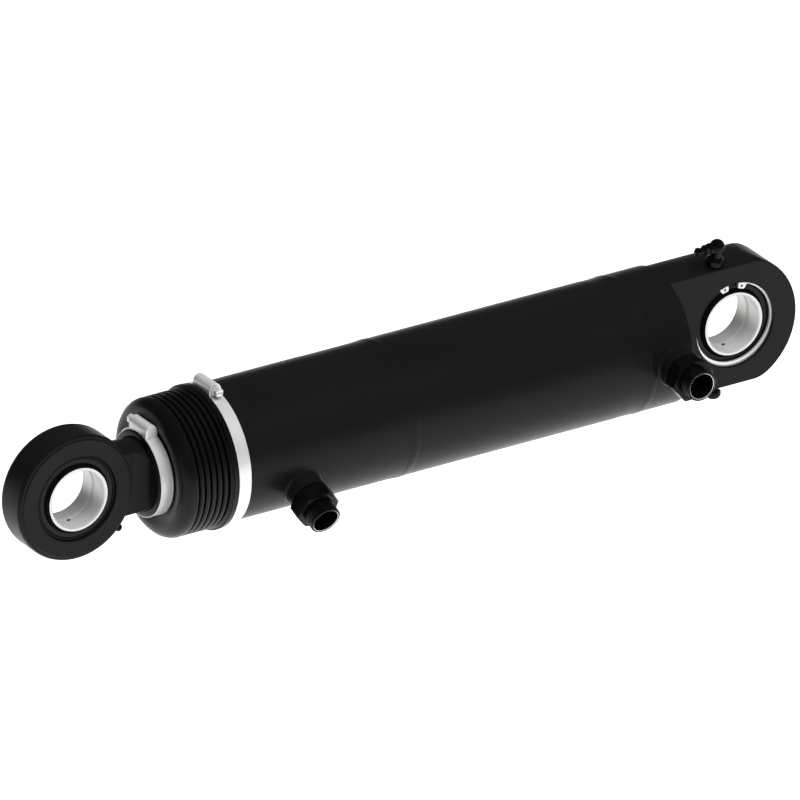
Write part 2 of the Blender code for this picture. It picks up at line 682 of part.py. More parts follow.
def port(end, x, tilt):
    """A welded boss, a sealing washer and a screwed adapter with an open cone mouth."""
    line = port_direction(tilt)
    foot = (x, 0, 0)
    boss_profile = [
        (0.050, PORT_PASSAGE_RADIUS),
        (0.050, PORT_BOSS_RADIUS),
        (PORT_BOSS_TOP - 0.0010, PORT_BOSS_RADIUS),
        (PORT_BOSS_TOP, PORT_BOSS_RADIUS - 0.0010),
        (PORT_BOSS_TOP, PORT_THREAD_RADIUS + GAP),
        (PORT_SEAT, PORT_THREAD_RADIUS + GAP),
        (PORT_SEAT, PORT_PASSAGE_RADIUS),
    ]
    boss = turned(f"{end}_port_boss", boss_profile, line, foot, "black_paint")
    saddle = rod_like(f"{end}_saddle", (x - 0.04, 0, 0), (x + 0.04, 0, 0), BARREL_RADIUS + GAP)
    cut(boss, saddle)
    washer_low = PORT_BOSS_TOP + GAP
    washer_high = washer_low + PORT_SEAL_THICKNESS
    washer = (washer_low, washer_high, PORT_THREAD_RADIUS + GAP, PORT_SEAL_RADIUS)
    ring(f"{end}_port_seal", *washer, line, foot, "dark_steel")
    hex_low = washer_high + GAP
    hex_high = hex_low + PORT_HEX_THICKNESS
    profile = [
        (PORT_SEAT + GAP, PORT_PASSAGE_RADIUS),
        (PORT_SEAT + GAP, PORT_THREAD_RADIUS),
        (hex_low + 0.0010, PORT_THREAD_RADIUS),
        (hex_low + 0.0010, PORT_MALE_RADIUS - 0.0012),
        (hex_high + 0.0016, PORT_MALE_RADIUS - 0.0012),
        (hex_high + 0.0024, PORT_MALE_RADIUS),
        (PORT_TIP - 0.0008, PORT_MALE_RADIUS),
        (PORT_TIP, PORT_MALE_RADIUS - 0.0008),
        (PORT_TIP, PORT_MOUTH_RADIUS),
        (PORT_TIP - 0.0080, PORT_MOUTH_RADIUS - 0.0017),
        (PORT_TIP - 0.0180, PORT_MOUTH_RADIUS - 0.0017),
        (PORT_TIP - 0.0180, PORT_PASSAGE_RADIUS),
    ]
    adapter = turned(f"{end}_port_adapter", profile, line, foot, "black_zinc")
    across = extruded(
        f"{end}_port_hex",
        hexagon(PORT_HEX_FLATS),
        hex_low,
        hex_high,
        frame=axis_frame(line, foot),
    )
    chamfer_profile = [
        (hex_low, 0),
        (hex_low, PORT_HEX_FACE_RADIUS),
        (hex_low + PORT_HEX_CHAMFER, PORT_HEX_CORNER_RADIUS),
        (hex_high - PORT_HEX_CHAMFER, PORT_HEX_CORNER_RADIUS),
        (hex_high, PORT_HEX_FACE_RADIUS),
        (hex_high, 0),
    ]
    keep(across, turned(f"{end}_port_hex_chamfer", chamfer_profile, line, foot))
    cut(across, rod_like(f"{end}_hex_core", Vector(foot) + line * 0.06, Vector(foot) + line * 0.1, 0.0101))
    join(adapter, across)


# Boot and clamps ---------------------------------------------------------------------------------


def bellows_boot():
    """The rubber boot as one closed solid: small cuff, domed front, six grooves, large cuff."""
    cuff = ROD_CLAMP_RADIUS - CLAMP_THICKNESS - GAP
    profile = [
        (BOOT_FRONT_X, NECK_RADIUS + GAP),
        (BOOT_FRONT_X, cuff),
        (-0.5556, cuff),
        (-0.5566, 0.0476),
        (-0.5583, 0.0500),
        (-0.5570, 0.0543),
        (-0.5540, 0.0576),
        (-0.5505, BOOT_CREST_RADIUS),
    ]
    half = BOOT_GROOVE_PITCH * 0.28
    for i in range(BOOT_GROOVES):
        middle = BOOT_FIRST_GROOVE_X + i * BOOT_GROOVE_PITCH
        profile += [(middle - half, BOOT_CREST_RADIUS), (middle, BOOT_VALLEY_RADIUS)]
        profile += [(middle + half, BOOT_CREST_RADIUS)]
    band_seat = BARREL_CLAMP_RADIUS - CLAMP_THICKNESS - GAP
    band_front = BARREL_CLAMP_X - CLAMP_WIDTH / 2 - GAP
    inner_seat = BOOT_SEAT_RADIUS + GAP
    profile += [
        (-0.5118, BOOT_CUFF_RADIUS),
        (band_front, BOOT_CUFF_RADIUS),
        (band_front, band_seat),
        (BOOT_END_X, band_seat),
        (BOOT_END_X, inner_seat),
        (BARREL_FRONT_X - GAP, inner_seat),
        (BARREL_FRONT_X - GAP, 0.0450),
        (-0.5140, BOOT_INNER_RADIUS),
        (-0.5525, BOOT_INNER_RADIUS),
        (NECK_END_X + 0.0005, NECK_RADIUS + GAP),
    ]
    return turned("bellows_boot", profile, (1, 0, 0), slot="boot_rubber")


def worm_clamp(end, x, radius, tilt, facing):
    """A band, its screw housing on top, and the hex-headed worm screw through the housing.

    The tilt turns the housing from +Z towards +Y. Facing is the side, along Y, of the screw's head.
    """
    inner = radius - CLAMP_THICKNESS
    half = CLAMP_WIDTH / 2
    ring(f"{end}_clamp_band", x - half, x + half, inner, radius, (1, 0, 0), (0, 0, 0), "zinc_plate")
    place = Matrix.Rotation(math.radians(-tilt), 4, "X")
    place = place @ Matrix.Translation((x, 0, 0)) @ Matrix.Rotation(math.radians(90), 4, "X")
    screw_height = radius + CLAMP_SCREW_LIFT
    low = radius + GAP
    bore = CLAMP_SCREW_RADIUS + GAP
    shell = bore + CLAMP_SHELL
    arch = [(-shell, low), (shell, low)] + arc(shell, 0, 180, 10, (0, screw_height))
    span = CLAMP_HOUSING_LENGTH / 2
    housing = extruded(f"{end}_clamp_housing", arch, -span, span, "zinc_plate", place)
    foot = half - 0.0001
    plate = [(-foot, low), (foot, low), (foot, low + 0.0013), (-foot, low + 0.0013)]
    saddle = CLAMP_SADDLE_LENGTH / 2
    join(housing, extruded(f"{end}_clamp_saddle", plate, -saddle, saddle, frame=place))
    screw_line = place @ Vector((0, screw_height, -0.03)), place @ Vector((0, screw_height, 0.03))
    cut(housing, rod_like(f"{end}_housing_bore", *screw_line, bore, sides=SMALL_SIDES))
    back = span + 0.0015
    neck = span + 0.0012
    start = place @ Vector((0, screw_height, facing * back))
    stop = place @ Vector((0, screw_height, -facing * neck))
    screw = rod_like(f"{end}_clamp_screw", start, stop, CLAMP_SCREW_RADIUS, "zinc_plate", SMALL_SIDES)
    head_low, head_high = sorted((-facing * (neck - 0.0008), -facing * (neck + CLAMP_HEAD_LENGTH)))
    head_frame = place @ Matrix.Translation((0, screw_height, 0))
    head = extruded(f"{end}_screw_head", hexagon(CLAMP_HEAD_FLATS), head_low, head_high, frame=head_frame)
    join(screw, head)


# Lubrication fittings ----------------------------------------------------------------------------


def nipple_head(start):
    """The profile of a conical-head grease nipple above its hexagon, as (along, radius)."""
    return [
        (start, 0.0030),
        (start + 0.0016, 0.0030),
        (start + 0.0024, 0.0025),
        (start + 0.0034, 0.0025),
        (start + 0.0046, 0.0034),
        (start + 0.0064, 0.0034),
        (start + 0.0082, 0.0019),
        (start + 0.0082, 0),
    ]


def straight_nipple(name, foot, line, face, slot="black_zinc"):
    """A straight nipple: stub in its hole, hexagon on the surface, conical head."""
    stub = face - 0.0090
    low = face + GAP
    profile = [(stub, 0), (stub, FITTING_STUB_RADIUS), (low, FITTING_STUB_RADIUS), (low, 0.0045)]
    profile += [(low + 0.0045, 0.0045)] + nipple_head(low + 0.0045)
    body = turned(name, profile, line, foot, slot, SMALL_SIDES)
    frame = axis_frame(line, foot)
    join(body, extruded(f"{name}_hex", hexagon(0.0095), low + 0.0004, low + 0.0042, frame=frame))
    return body


def elbow_nipple():
    """A 90-degree elbow on the base eye, and the nipple screwed into it, facing the rod end."""
    line = radial_direction(ELBOW_TILT)
    foot = (ELBOW_X, 0, 0)
    low = BASE_TONGUE_RADIUS + GAP
    centre = low + 0.0187
    profile = [
        (FITTING_STUB_END, 0),
        (FITTING_STUB_END, FITTING_STUB_RADIUS),
        (low, FITTING_STUB_RADIUS),
        (low, 0.0056),
        (centre - 0.0085, 0.0050),
        (centre - 0.0042, 0.0048),
        (centre - 0.0022, 0.0059),
        (centre + 0.0006, 0.0062),
        (centre + 0.0036, 0.0052),
        (centre + 0.0055, 0.0030),
        (centre + 0.0062, 0),
    ]
    elbow = turned("base_grease_elbow", profile, line, foot, "black_zinc", SMALL_SIDES)
    frame = axis_frame(line, foot)
    join(elbow, extruded("elbow_hex", hexagon(0.0140), low + 0.0005, low + 0.0090, frame=frame))
    middle = Vector(foot) + line * centre
    arm_profile = [(-0.0010, 0), (-0.0010, 0.0043), (0.0088, 0.0043), (0.0088, 0)]
    join(elbow, turned("elbow_arm", arm_profile, (-1, 0, 0), middle, sides=SMALL_SIDES))
    bore = middle + Vector((-0.0050, 0, 0)), middle + Vector((-0.02, 0, 0))
    cut(elbow, rod_like("elbow_bore", *bore, 0.0029, sides=12))
    nipple = [(0.0054, 0), (0.0054, 0.0026), (0.0091, 0.0026), (0.0091, 0.0044), (0.0132, 0.0044)]
    turned("base_grease_nipple", nipple + nipple_head(0.0132), (-1, 0, 0), middle, "black_zinc", SMALL_SIDES)


def screw_plug():
    """The domed plug in the base eye's spare lubrication hole, with a hexagon socket."""
    line = radial_direction(PLUG_TILT)
    foot = (PLUG_X, 0, 0)
    low = BASE_TONGUE_RADIUS + GAP
    top = low + 0.0085
    profile = [
        (FITTING_STUB_END, 0),
        (FITTING_STUB_END, FITTING_STUB_RADIUS),
        (low, FITTING_STUB_RADIUS),
        (low, 0.0050),
        (low + 0.0012, 0.0050),
        (low + 0.0018, 0.0064),
        (top - 0.0045, 0.0064),
        (top - 0.0016, 0.0054),
        (top, 0.0036),
        (top, 0),
    ]
    plug = turned("base_grease_plug", profile, line, foot, "black_zinc", SMALL_SIDES)
    frame = axis_frame(line, foot)
    cut(plug, extruded("plug_socket", hexagon(0.0050), top - 0.0040, top + 0.002, frame=frame))


def build():
    clear_scene()
    barrel_tube()
    barrel_head()
    weld_bead("rear_weld_bead", REAR_WELD_X)
    weld_bead("front_weld_bead", FRONT_WELD_X)
    gland()
    gland_rings()
    base_eye()
    rod_eye()
    spherical_bearing("base", 0.0)
    spherical_bearing("rod", ROD_PIN_X)
    base_circlip()
    stage_1()
    stage_1_gland()
    rod()
    rod_piston()
    for end, (x, tilt) in PORTS.items():
        port(end, x, tilt)
    bellows_boot()
    worm_clamp("barrel", BARREL_CLAMP_X, BARREL_CLAMP_RADIUS, 0.0, -1)
    worm_clamp("rod", ROD_CLAMP_X, ROD_CLAMP_RADIUS, 0.0, 1)
    elbow_nipple()
    screw_plug()
    straight_nipple("rod_grease_nipple", (ROD_PIN_X, 0, 0), nipple_line(), ROD_EYE_RADIUS)


build()
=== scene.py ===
"""Looks of the telescopic hydraulic cylinder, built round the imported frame. Metres, +Z up."""

import json
import math

import bmesh
import bpy
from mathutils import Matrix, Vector


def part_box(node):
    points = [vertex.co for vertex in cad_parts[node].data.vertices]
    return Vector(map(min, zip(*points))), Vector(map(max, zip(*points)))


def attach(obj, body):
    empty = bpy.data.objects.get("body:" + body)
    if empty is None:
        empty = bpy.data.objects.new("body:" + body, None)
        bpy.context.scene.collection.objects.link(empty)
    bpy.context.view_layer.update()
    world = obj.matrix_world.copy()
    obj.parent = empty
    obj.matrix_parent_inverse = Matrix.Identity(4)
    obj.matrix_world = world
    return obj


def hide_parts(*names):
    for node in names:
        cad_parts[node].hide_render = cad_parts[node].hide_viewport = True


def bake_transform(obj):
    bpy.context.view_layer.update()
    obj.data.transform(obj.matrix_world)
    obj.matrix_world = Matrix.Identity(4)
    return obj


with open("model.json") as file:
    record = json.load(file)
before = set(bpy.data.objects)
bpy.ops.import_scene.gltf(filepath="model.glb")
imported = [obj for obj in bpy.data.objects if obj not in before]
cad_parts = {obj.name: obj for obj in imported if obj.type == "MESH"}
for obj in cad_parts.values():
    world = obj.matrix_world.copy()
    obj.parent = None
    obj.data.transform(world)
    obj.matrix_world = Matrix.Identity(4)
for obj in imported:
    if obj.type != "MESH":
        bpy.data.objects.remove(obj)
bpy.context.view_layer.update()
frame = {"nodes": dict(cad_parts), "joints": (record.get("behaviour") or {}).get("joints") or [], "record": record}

MM = 0.001
ROUND = 160
SMALL_ROUND = 96
NOISE_LOW, NOISE_HIGH = 0.3, 0.7


def low(node):
    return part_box(node)[0]


def high(node):
    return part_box(node)[1]


# Driving places, read from the frame
JOINTS = {joint["name"]: joint for joint in frame["joints"]}
ROD_PIN = Vector(JOINTS["rod_ball_swivel"]["pos_m"])
BASE_PIN = Vector(JOINTS["base_ball_swivel"]["pos_m"])
BARREL_R = high("barrel_tube").z
STAGE_R = 36.0 * MM
ROD_R = high("rod").z
HEAD_FRONT_X = low("barrel_head").x
NECK_END_X = high("rod_eye").x

# The barrel's weld bevels and turned dips
BEVEL, BEVEL_R = 2.6 * MM, BARREL_R - 1.6 * MM
DIP_R = BARREL_R - 0.22 * MM

ALONG_X = Vector((1, 0, 0))
ALONG_Y = Vector((0, 1, 0))


# Materials


class Shade:
    """A procedural material: nodes are added with add() and joined to the Principled shader."""

    def __init__(self, name):
        self.material = bpy.data.materials.new(name)
        self.material.use_nodes = True
        self.tree = self.material.node_tree
        self.shader = self.tree.nodes["Principled BSDF"]
        self.place = self.add("ShaderNodeTexCoord").outputs["Object"]
        self.bumps = None

    def add(self, kind, **values):
        node = self.tree.nodes.new(kind)
        for key, value in values.items():
            if hasattr(node, key):
                setattr(node, key, value)
            else:
                node.inputs[key.replace("_", " ")].default_value = value
        return node

    def join(self, output, target):
        self.tree.links.new(output, target)

    def noise(self, scale, detail=4.0, roughness=0.55, stretch=None):
        node = self.add("ShaderNodeTexNoise", Scale=scale, Detail=detail, Roughness=roughness)
        if stretch:
            mapping = self.add("ShaderNodeMapping", Scale=stretch)
            self.join(self.place, mapping.inputs["Vector"])
            self.join(mapping.outputs["Vector"], node.inputs["Vector"])
        else:
            self.join(self.place, node.inputs["Vector"])
        return node.outputs["Fac"]

    def colour(self, source, dark, light):
        """A base colour between two, led by a noise."""
        node = self.add("ShaderNodeValToRGB")
        for element, place, colour in zip(node.color_ramp.elements, (NOISE_LOW, NOISE_HIGH), (dark, light)):
            element.position = place
            element.color = (*colour, 1.0)
        self.join(source, node.inputs["Fac"])
        self.join(node.outputs["Color"], self.shader.inputs["Base Color"])

    def roughness(self, source, smooth, rough):
        node = self.add(
            "ShaderNodeMapRange", From_Min=NOISE_LOW, From_Max=NOISE_HIGH, To_Min=smooth, To_Max=rough
        )
        self.join(source, node.inputs["Value"])
        self.join(node.outputs["Result"], self.shader.inputs["Roughness"])

    def bump(self, source, strength, distance):
        node = self.add("ShaderNodeBump", Strength=strength, Distance=distance)
        self.join(source, node.inputs["Height"])
        if self.bumps:
            self.join(self.bumps, node.inputs["Normal"])
        self.bumps = node.outputs["Normal"]
        self.join(self.bumps, self.shader.inputs["Normal"])

    def constant(self, **values):
        for key, value in values.items():
            self.shader.inputs[key.replace("_", " ")].default_value = value


def black_paint():
    """Satin black spray paint: a fine orange peel, and a faint cloudiness in its gloss."""
    shade = Shade("black_paint")
    shade.colour(shade.noise(14, 3), (0.0056, 0.0056, 0.0057), (0.0068, 0.0068, 0.0067))
    shade.roughness(shade.noise(60, 5), 0.30, 0.36)
    shade.bump(shade.noise(900, 2), 0.06, 0.00006)
    shade.bump(shade.noise(90, 2), 0.04, 0.0002)
    shade.constant(Specular_IOR_Level=0.10)
    return shade.material


def black_zinc():
    """Glossy black plating."""
    shade = Shade("black_zinc")
    shade.colour(shade.noise(120, 3), (0.0018, 0.0018, 0.0019), (0.0030, 0.0030, 0.0031))
    shade.roughness(shade.noise(240, 4), 0.22, 0.30)
    shade.bump(shade.noise(1200, 2), 0.05, 0.00003)
    shade.constant(Specular_IOR_Level=0.10)
    return shade.material


def boot_rubber():
    """Matt moulded rubber with a fine grain and a little bloom."""
    shade = Shade("boot_rubber")
    shade.colour(shade.noise(35, 5), (0.0030, 0.0030, 0.0034), (0.0048, 0.0048, 0.0053))
    shade.roughness(shade.noise(180, 4), 0.27, 0.34)
    shade.bump(shade.noise(1500, 3), 0.08, 0.00004)
    shade.bump(shade.noise(160, 2), 0.04, 0.0001)
    shade.constant(Specular_IOR_Level=0.15)
    return shade.material


def zinc_plate():
    """Bright zinc on steel strip: pale, with faint rolling marks. It is also laid as a thin ring on the port
    adapters' mouths, as a painted highlight.
    """
    shade = Shade("zinc_plate")
    marks = shade.noise(220, 4, stretch=(5.0, 0.8, 0.8))
    shade.colour(marks, (0.70, 0.70, 0.69), (0.76, 0.76, 0.75))
    shade.roughness(marks, 0.30, 0.36)
    shade.bump(marks, 0.01, 0.000004)
    shade.constant(Metallic=0.45)
    return shade.material


def bearing_steel():
    """Ground bearing steel: pale, with faint grinding marks."""
    shade = Shade("bearing_steel")
    marks = shade.noise(90, 3, stretch=(0.6, 14.0, 0.6))
    shade.colour(marks, (0.60, 0.595, 0.59), (0.64, 0.635, 0.63))
    shade.roughness(marks, 0.40, 0.44)
    shade.bump(marks, 0.01, 0.000002)
    shade.constant(Metallic=0.5)
    return shade.material


def dark_steel():
    """Phosphated steel. It is also laid on the bearing ball's sphere as a painted dark reflection, and on its oil
    hole's wall as painted shade.
    """
    shade = Shade("dark_steel")
    shade.colour(shade.noise(200, 4), (0.0030, 0.0029, 0.0028), (0.0050, 0.0048, 0.0046))
    shade.roughness(shade.noise(500, 3), 0.34, 0.46)
    shade.bump(shade.noise(1500, 2), 0.06, 0.00003)
    shade.constant(Metallic=0.3, Specular_IOR_Level=0.10)
    return shade.material


def hard_chrome():
    """Ground and polished chrome with faint marks round the rod."""
    shade = Shade("hard_chrome")
    marks = shade.noise(300, 3, stretch=(9.0, 0.3, 0.3))
    shade.colour(marks, (0.62, 0.63, 0.65), (0.68, 0.69, 0.71))
    shade.roughness(marks, 0.08, 0.13)
    shade.bump(marks, 0.02, 0.00001)
    shade.constant(Metallic=1.0)
    return shade.material


def seal_polymer():
    """Matt blue polyurethane."""
    shade = Shade("seal_polymer")
    shade.colour(shade.noise(150, 4), (0.010, 0.035, 0.085), (0.018, 0.050, 0.110))
    shade.roughness(shade.noise(400, 3), 0.42, 0.58)
    shade.bump(shade.noise(1500, 2), 0.08, 0.00004)
    return shade.material


def bronze_guide():
    """Bronze-filled guide strip."""
    shade = Shade("bronze_guide")
    shade.colour(shade.noise(320, 5), (0.22, 0.115, 0.035), (0.34, 0.19, 0.065))
    shade.roughness(shade.noise(500, 3), 0.45, 0.60)
    shade.bump(shade.noise(1500, 2), 0.12, 0.00005)
    shade.constant(Metallic=0.4)
    return shade.material


def iron_casting():
    """Machined ductile iron."""
    shade = Shade("iron_casting")
    shade.colour(shade.noise(260, 5), (0.10, 0.095, 0.09), (0.17, 0.165, 0.155))
    shade.roughness(shade.noise(700, 3, stretch=(5.0, 1.0, 1.0)), 0.34, 0.50)
    shade.bump(shade.noise(1200, 3), 0.12, 0.00005)
    shade.constant(Metallic=0.8)
    return shade.material


def studio_floor():
    """Plain white floor that glows a little, so that it throws light up from below."""
    shade = Shade("studio_floor")
    shade.colour(shade.noise(0.6, 2), (0.90, 0.90, 0.90), (0.91, 0.91, 0.91))
    shade.roughness(shade.noise(2.0, 2), 0.90, 0.95)
    shade.constant(Specular_IOR_Level=0.0, Emission_Color=(1, 1, 0.985, 1), Emission_Strength=0.72)
    return shade.material


MATERIALS = {
    make.__name__: make()
    for make in (
        black_paint,
        black_zinc,
        boot_rubber,
        zinc_plate,
        bearing_steel,
        dark_steel,
        hard_chrome,
        seal_polymer,
        bronze_guide,
        iron_casting,
    )
}


# Mesh tools


def new_object(name, data):
    obj = bpy.data.objects.new(name, data)
    bpy.context.scene.collection.objects.link(obj)
    return obj


def turns_of(count):
    """Angles evenly spread over a full turn."""
    return [math.tau * i / count for i in range(count)]


def arc(start, stop, steps):
    """Angles from start to stop, which are given in degrees."""
    return [math.radians(start + (stop - start) * i / steps) for i in range(steps + 1)]


def in_mm(points, along=0.0):
    """The points of a profile given in millimetres, moved along by a distance in metres."""
    return [(along + x * MM, radius * MM) for x, radius in points]


def axes_for(axis):
    """Two directions square to an axis. For X and for Y the first one is the other of the two."""
    axis = Vector(axis).normalized()
    first = ALONG_Y if abs(axis.x) > 0.9 else ALONG_X
    first = (first - axis * first.dot(axis)).normalized()
    return first, axis.cross(first)


def grid_mesh(name, rings, closed, whole_ends=False):
    """A mesh from rings of points. Closed joins the last ring to the first.

    Otherwise both ends are capped, by a fan of triangles or, with whole_ends, by one face each.
    """
    count, around = len(rings), len(rings[0])
    vertices = [point for ring in rings for point in ring]
    faces = []
    for i in range(count if closed else count - 1):
        here, there = i * around, (i + 1) % count * around
        for j in range(around):
            k = (j + 1) % around
            faces.append((here + j, here + k, there + k, there + j))
    last = (count - 1) * around
    if whole_ends:
        faces += [tuple(range(around)), tuple(range(last, last + around))]
    elif not closed:
        for ring, start in ((rings[0], 0), (rings[-1], last)):
            middle = sum((Vector(point) for point in ring), Vector()) / around
            vertices.append(tuple(middle))
            apex = len(vertices) - 1
            faces += [(start + j, start + (j + 1) % around, apex) for j in range(around)]
    mesh = bpy.data.meshes.new(name)
    mesh.from_pydata(vertices, [], faces)
    bm = bmesh.new()
    bm.from_mesh(mesh)
    bmesh.ops.remove_doubles(bm, verts=bm.verts, dist=1e-7)
    bmesh.ops.dissolve_degenerate(bm, edges=bm.edges, dist=1e-8)
    bmesh.ops.recalc_face_normals(bm, faces=bm.faces)
    bm.to_mesh(mesh)
    bm.free()
    return new_object(name, mesh)


def rounded(profile, radius, closed, steps=3):
    """A profile with each of its corners turned into a small arc."""
    points = [Vector(point[:2]) for point in profile]
    count = len(points)
    result = []
    for i, point in enumerate(points):
        if not closed and i in (0, count - 1):
            result.append(tuple(point))
            continue
        before, after = points[i - 1] - point, points[(i + 1) % count] - point
        turn = before.angle(after, math.pi)
        if turn > math.radians(172) or radius <= 0:
            result.append(tuple(point))
            continue
        reach = min(radius / math.tan(turn / 2), before.length * 0.45, after.length * 0.45)
        start, end = point + before.normalized() * reach, point + after.normalized() * reach
        for k in range(steps + 1):
            t = k / steps
            spot = start * (1 - t) ** 2 + point * 2 * t * (1 - t) + end * t**2
            result.append(tuple(spot))
    return result


def lathe(name, profile, axis, origin=(0, 0, 0), closed=True, soft=0.4 * MM, sides=ROUND):
    """A turned piece. The profile lists (along the axis, radius); an open one ends on the axis."""
    return nut_lathe(name, rounded(profile, soft, closed), axis, origin, closed, sides)


def ring_section(start, end, inner, outer):
    """The square profile of a ring."""
    return [(start, inner), (start, outer), (end, outer), (end, inner)]


def hex_radius(turn, flats):
    """The distance from the middle of a hexagon to its edge, in a direction."""
    sixth = math.radians(60)
    return flats / 2 / math.cos((turn + sixth / 2) % sixth - sixth / 2)


def nut_lathe(name, rows, axis, origin, closed=True, sides=SMALL_ROUND, thread=None, twist=0.0):
    """A turned piece that may have hexagonal stretches.

    Each row is (along, radius) or (along, radius, flats): with flats, the outline is the smaller of
    the radius and the hexagon, turned by twist. Thread is (start, end, pitch, depth) of a
    right-hand outside thread.
    """
    first, second = axes_for(axis)
    axis, origin = Vector(axis).normalized(), Vector(origin)
    rings = []
    for row in rows:
        along, radius = row[0], max(row[1], 1e-9)
        flats = row[2] if len(row) > 2 else 0
        ring = []
        for turn in turns_of(sides):
            reach = min(radius, hex_radius(turn + twist, flats)) if flats else radius
            if thread and len(row) > 3:
                start, end, pitch, depth = thread
                wave = abs(((along / pitch - turn / math.tau) % 1) * 2 - 1)
                fade = min(1.0, (along - start) / pitch, (end - along) / pitch)
                reach -= depth * min(1, max(0, wave * 1.6 - 0.3)) * max(0, fade)
            spot = origin + axis * along + (first * math.cos(turn) + second * math.sin(turn)) * reach
            ring.append(tuple(spot))
        rings.append(ring)
    return grid_mesh(name, rings, closed)


def hex_rows(start, end, flats, crown=None, steps=6):
    """Rows of a hexagonal stretch whose ends are chamfered by a 30-degree cone."""
    corner = flats / math.sqrt(3)
    crown = crown or flats / 2 * 0.965
    depth = (corner - crown) * math.tan(math.radians(30))
    cone = [(depth * i / steps, crown + (corner - crown) * i / steps) for i in range(steps + 1)]
    rows = [(start + rise, reach, flats) for rise, reach in cone]
    rows += [(end - rise, reach, flats) for rise, reach in reversed(cone)]
    return rows


def thread_rows(start, end, radius, pitch):
    """Rows fine enough to carry a thread of this pitch."""
    count = int((end - start) / pitch * 10)
    return [(start + (end - start) * i / count, radius, 0, True) for i in range(count + 1)]


def apply_modifiers(obj):
    """Turns the evaluated shape into the object's own mesh."""
    graph = bpy.context.evaluated_depsgraph_get()
    mesh = bpy.data.meshes.new_from_object(obj.evaluated_get(graph))
    obj.modifiers.clear()
    obj.data = mesh


def combine(obj, operation, *others):
    """Joins, cuts or intersects with other objects, and removes them."""
    for other in others:
        modifier = obj.modifiers.new("combine", "BOOLEAN")
        modifier.operation = operation
        modifier.solver = "EXACT"
        modifier.object = other
        apply_modifiers(obj)
        bpy.data.objects.remove(other)
    return obj


def plug(start, end, radius, sides=SMALL_ROUND):
    """A plain round cutter between two points."""
    start, end = Vector(start), Vector(end)
    length = (end - start).length
    profile = [(0, 0), (0, radius), (length, radius), (length, 0)]
    return lathe("cutter", profile, end - start, start, closed=False, soft=0, sides=sides)


def cut_groove(body, start, end, inner, outer):
    """Cuts a square groove round the axis."""
    groove = lathe("cutter", ring_section(start, end, inner, outer), ALONG_X, soft=0)
    combine(body, "DIFFERENCE", groove)


def finish(obj, material, body, nodes=(), sharp=32):
    """Smooth shading, a material, a body to ride on, and the CAD nodes that the piece stands for."""
    obj.data.shade_smooth()
    obj.data.set_sharp_from_angle(angle=math.radians(sharp))
    weighted = obj.modifiers.new("weighted normals", "WEIGHTED_NORMAL")
    weighted.keep_sharp = True
    obj.data.materials.clear()
    obj.data.materials.append(MATERIALS[material])
    if body:
        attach(obj, body)
    if nodes:
        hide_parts(*nodes)
    return obj


def body_of(node):
    return next(body for body, nodes in frame["record"]["behaviour"]["bodies"].items() if node in nodes)


def slot_of(node):
    return next(row["material_slot"] for row in frame["record"]["subparts"] if row["node"] == node)


def stand_in_for(obj, node, sharp=32):
    """Finishes a piece that replaces one CAD node: same slot, same body."""
    return finish(obj, slot_of(node), body_of(node), [node], sharp)


def radii(node, axis, origin=(0, 0, 0)):
    """How far a node reaches along an axis, and its smallest and largest distance from it."""
    origin, axis = Vector(origin), Vector(axis)
    points = [vertex.co - origin for vertex in frame["nodes"][node].data.vertices]
    along = [point.dot(axis) for point in points]
    away = [(point - axis * point.dot(axis)).length for point in points]
    return min(along), max(along), min(away), max(away)


# Barrel


def barrel_tube():
    start, end = low("barrel_tube").x, high("barrel_tube").x
    bore = radii("barrel_tube", ALONG_X)[2]
    profile = [(start, bore), (start, BEVEL_R), (start + BEVEL, BARREL_R), (end - 19.6 * MM, BARREL_R)]
    profile += [(end - 17.6 * MM, DIP_R), (end - 8.4 * MM, DIP_R), (end - 6.4 * MM, BARREL_R)]
    profile += [(end - BEVEL, BARREL_R), (end, BEVEL_R), (end, bore)]
    stand_in_for(lathe("barrel_tube_fine", profile, ALONG_X, soft=0.5 * MM), "barrel_tube", 60)


def barrel_head():
    start, end = low("barrel_head").x, high("barrel_head").x
    seat_end = low("barrel_clamp_band").x + 13.3 * MM
    seat, mouth, ledge = BARREL_R - 0.8 * MM, 52 * MM, low("gland").x + 52.5 * MM
    profile = [(end, radii("barrel_head", ALONG_X)[2]), (end, BEVEL_R), (end - BEVEL, BARREL_R)]
    profile += [(end - 6.4 * MM, BARREL_R), (end - 9.4 * MM, DIP_R), (end - 59.0 * MM, DIP_R)]
    profile += [(end - 62.0 * MM, BARREL_R), (seat_end, BARREL_R), (seat_end, seat), (start + 1 * MM, seat)]
    profile += [(start, seat - 1 * MM), (start, mouth), (ledge, mouth), (ledge + 2 * MM, mouth - 2 * MM)]
    stand_in_for(lathe("barrel_head_fine", profile, ALONG_X, soft=0.4 * MM), "barrel_head", 60)


def weld_bead(node):
    """A weld run with the overlapping ripples that a turntable weld leaves."""
    start, end = low(node).x, high(node).x
    middle, half = (start + end) / 2, (end - start) / 2
    steps, ripples, turns = 14, 90, turns_of(720)
    rings = []
    for i in range(steps + 1):
        t = -1 + 2 * i / steps
        crown = 0.50 * MM * (1 - t * t) - 0.15 * MM
        ring = []
        for turn in turns:
            wave = 0.03 * MM * (1 - t * t) * math.cos(ripples * turn + 2.4 * t * t)
            reach = BARREL_R + crown + wave
            ring.append((middle + half * t, reach * math.cos(turn), reach * math.sin(turn)))
        rings.append(ring)
    root = BARREL_R - 3.0 * MM
    for offset in (0.2, -0.2):
        x = middle + half * offset
        rings.append([(x, root * math.cos(turn), root * math.sin(turn)) for turn in turns])
    stand_in_for(grid_mesh(f"{node}_fine", rings, True), node, 60)


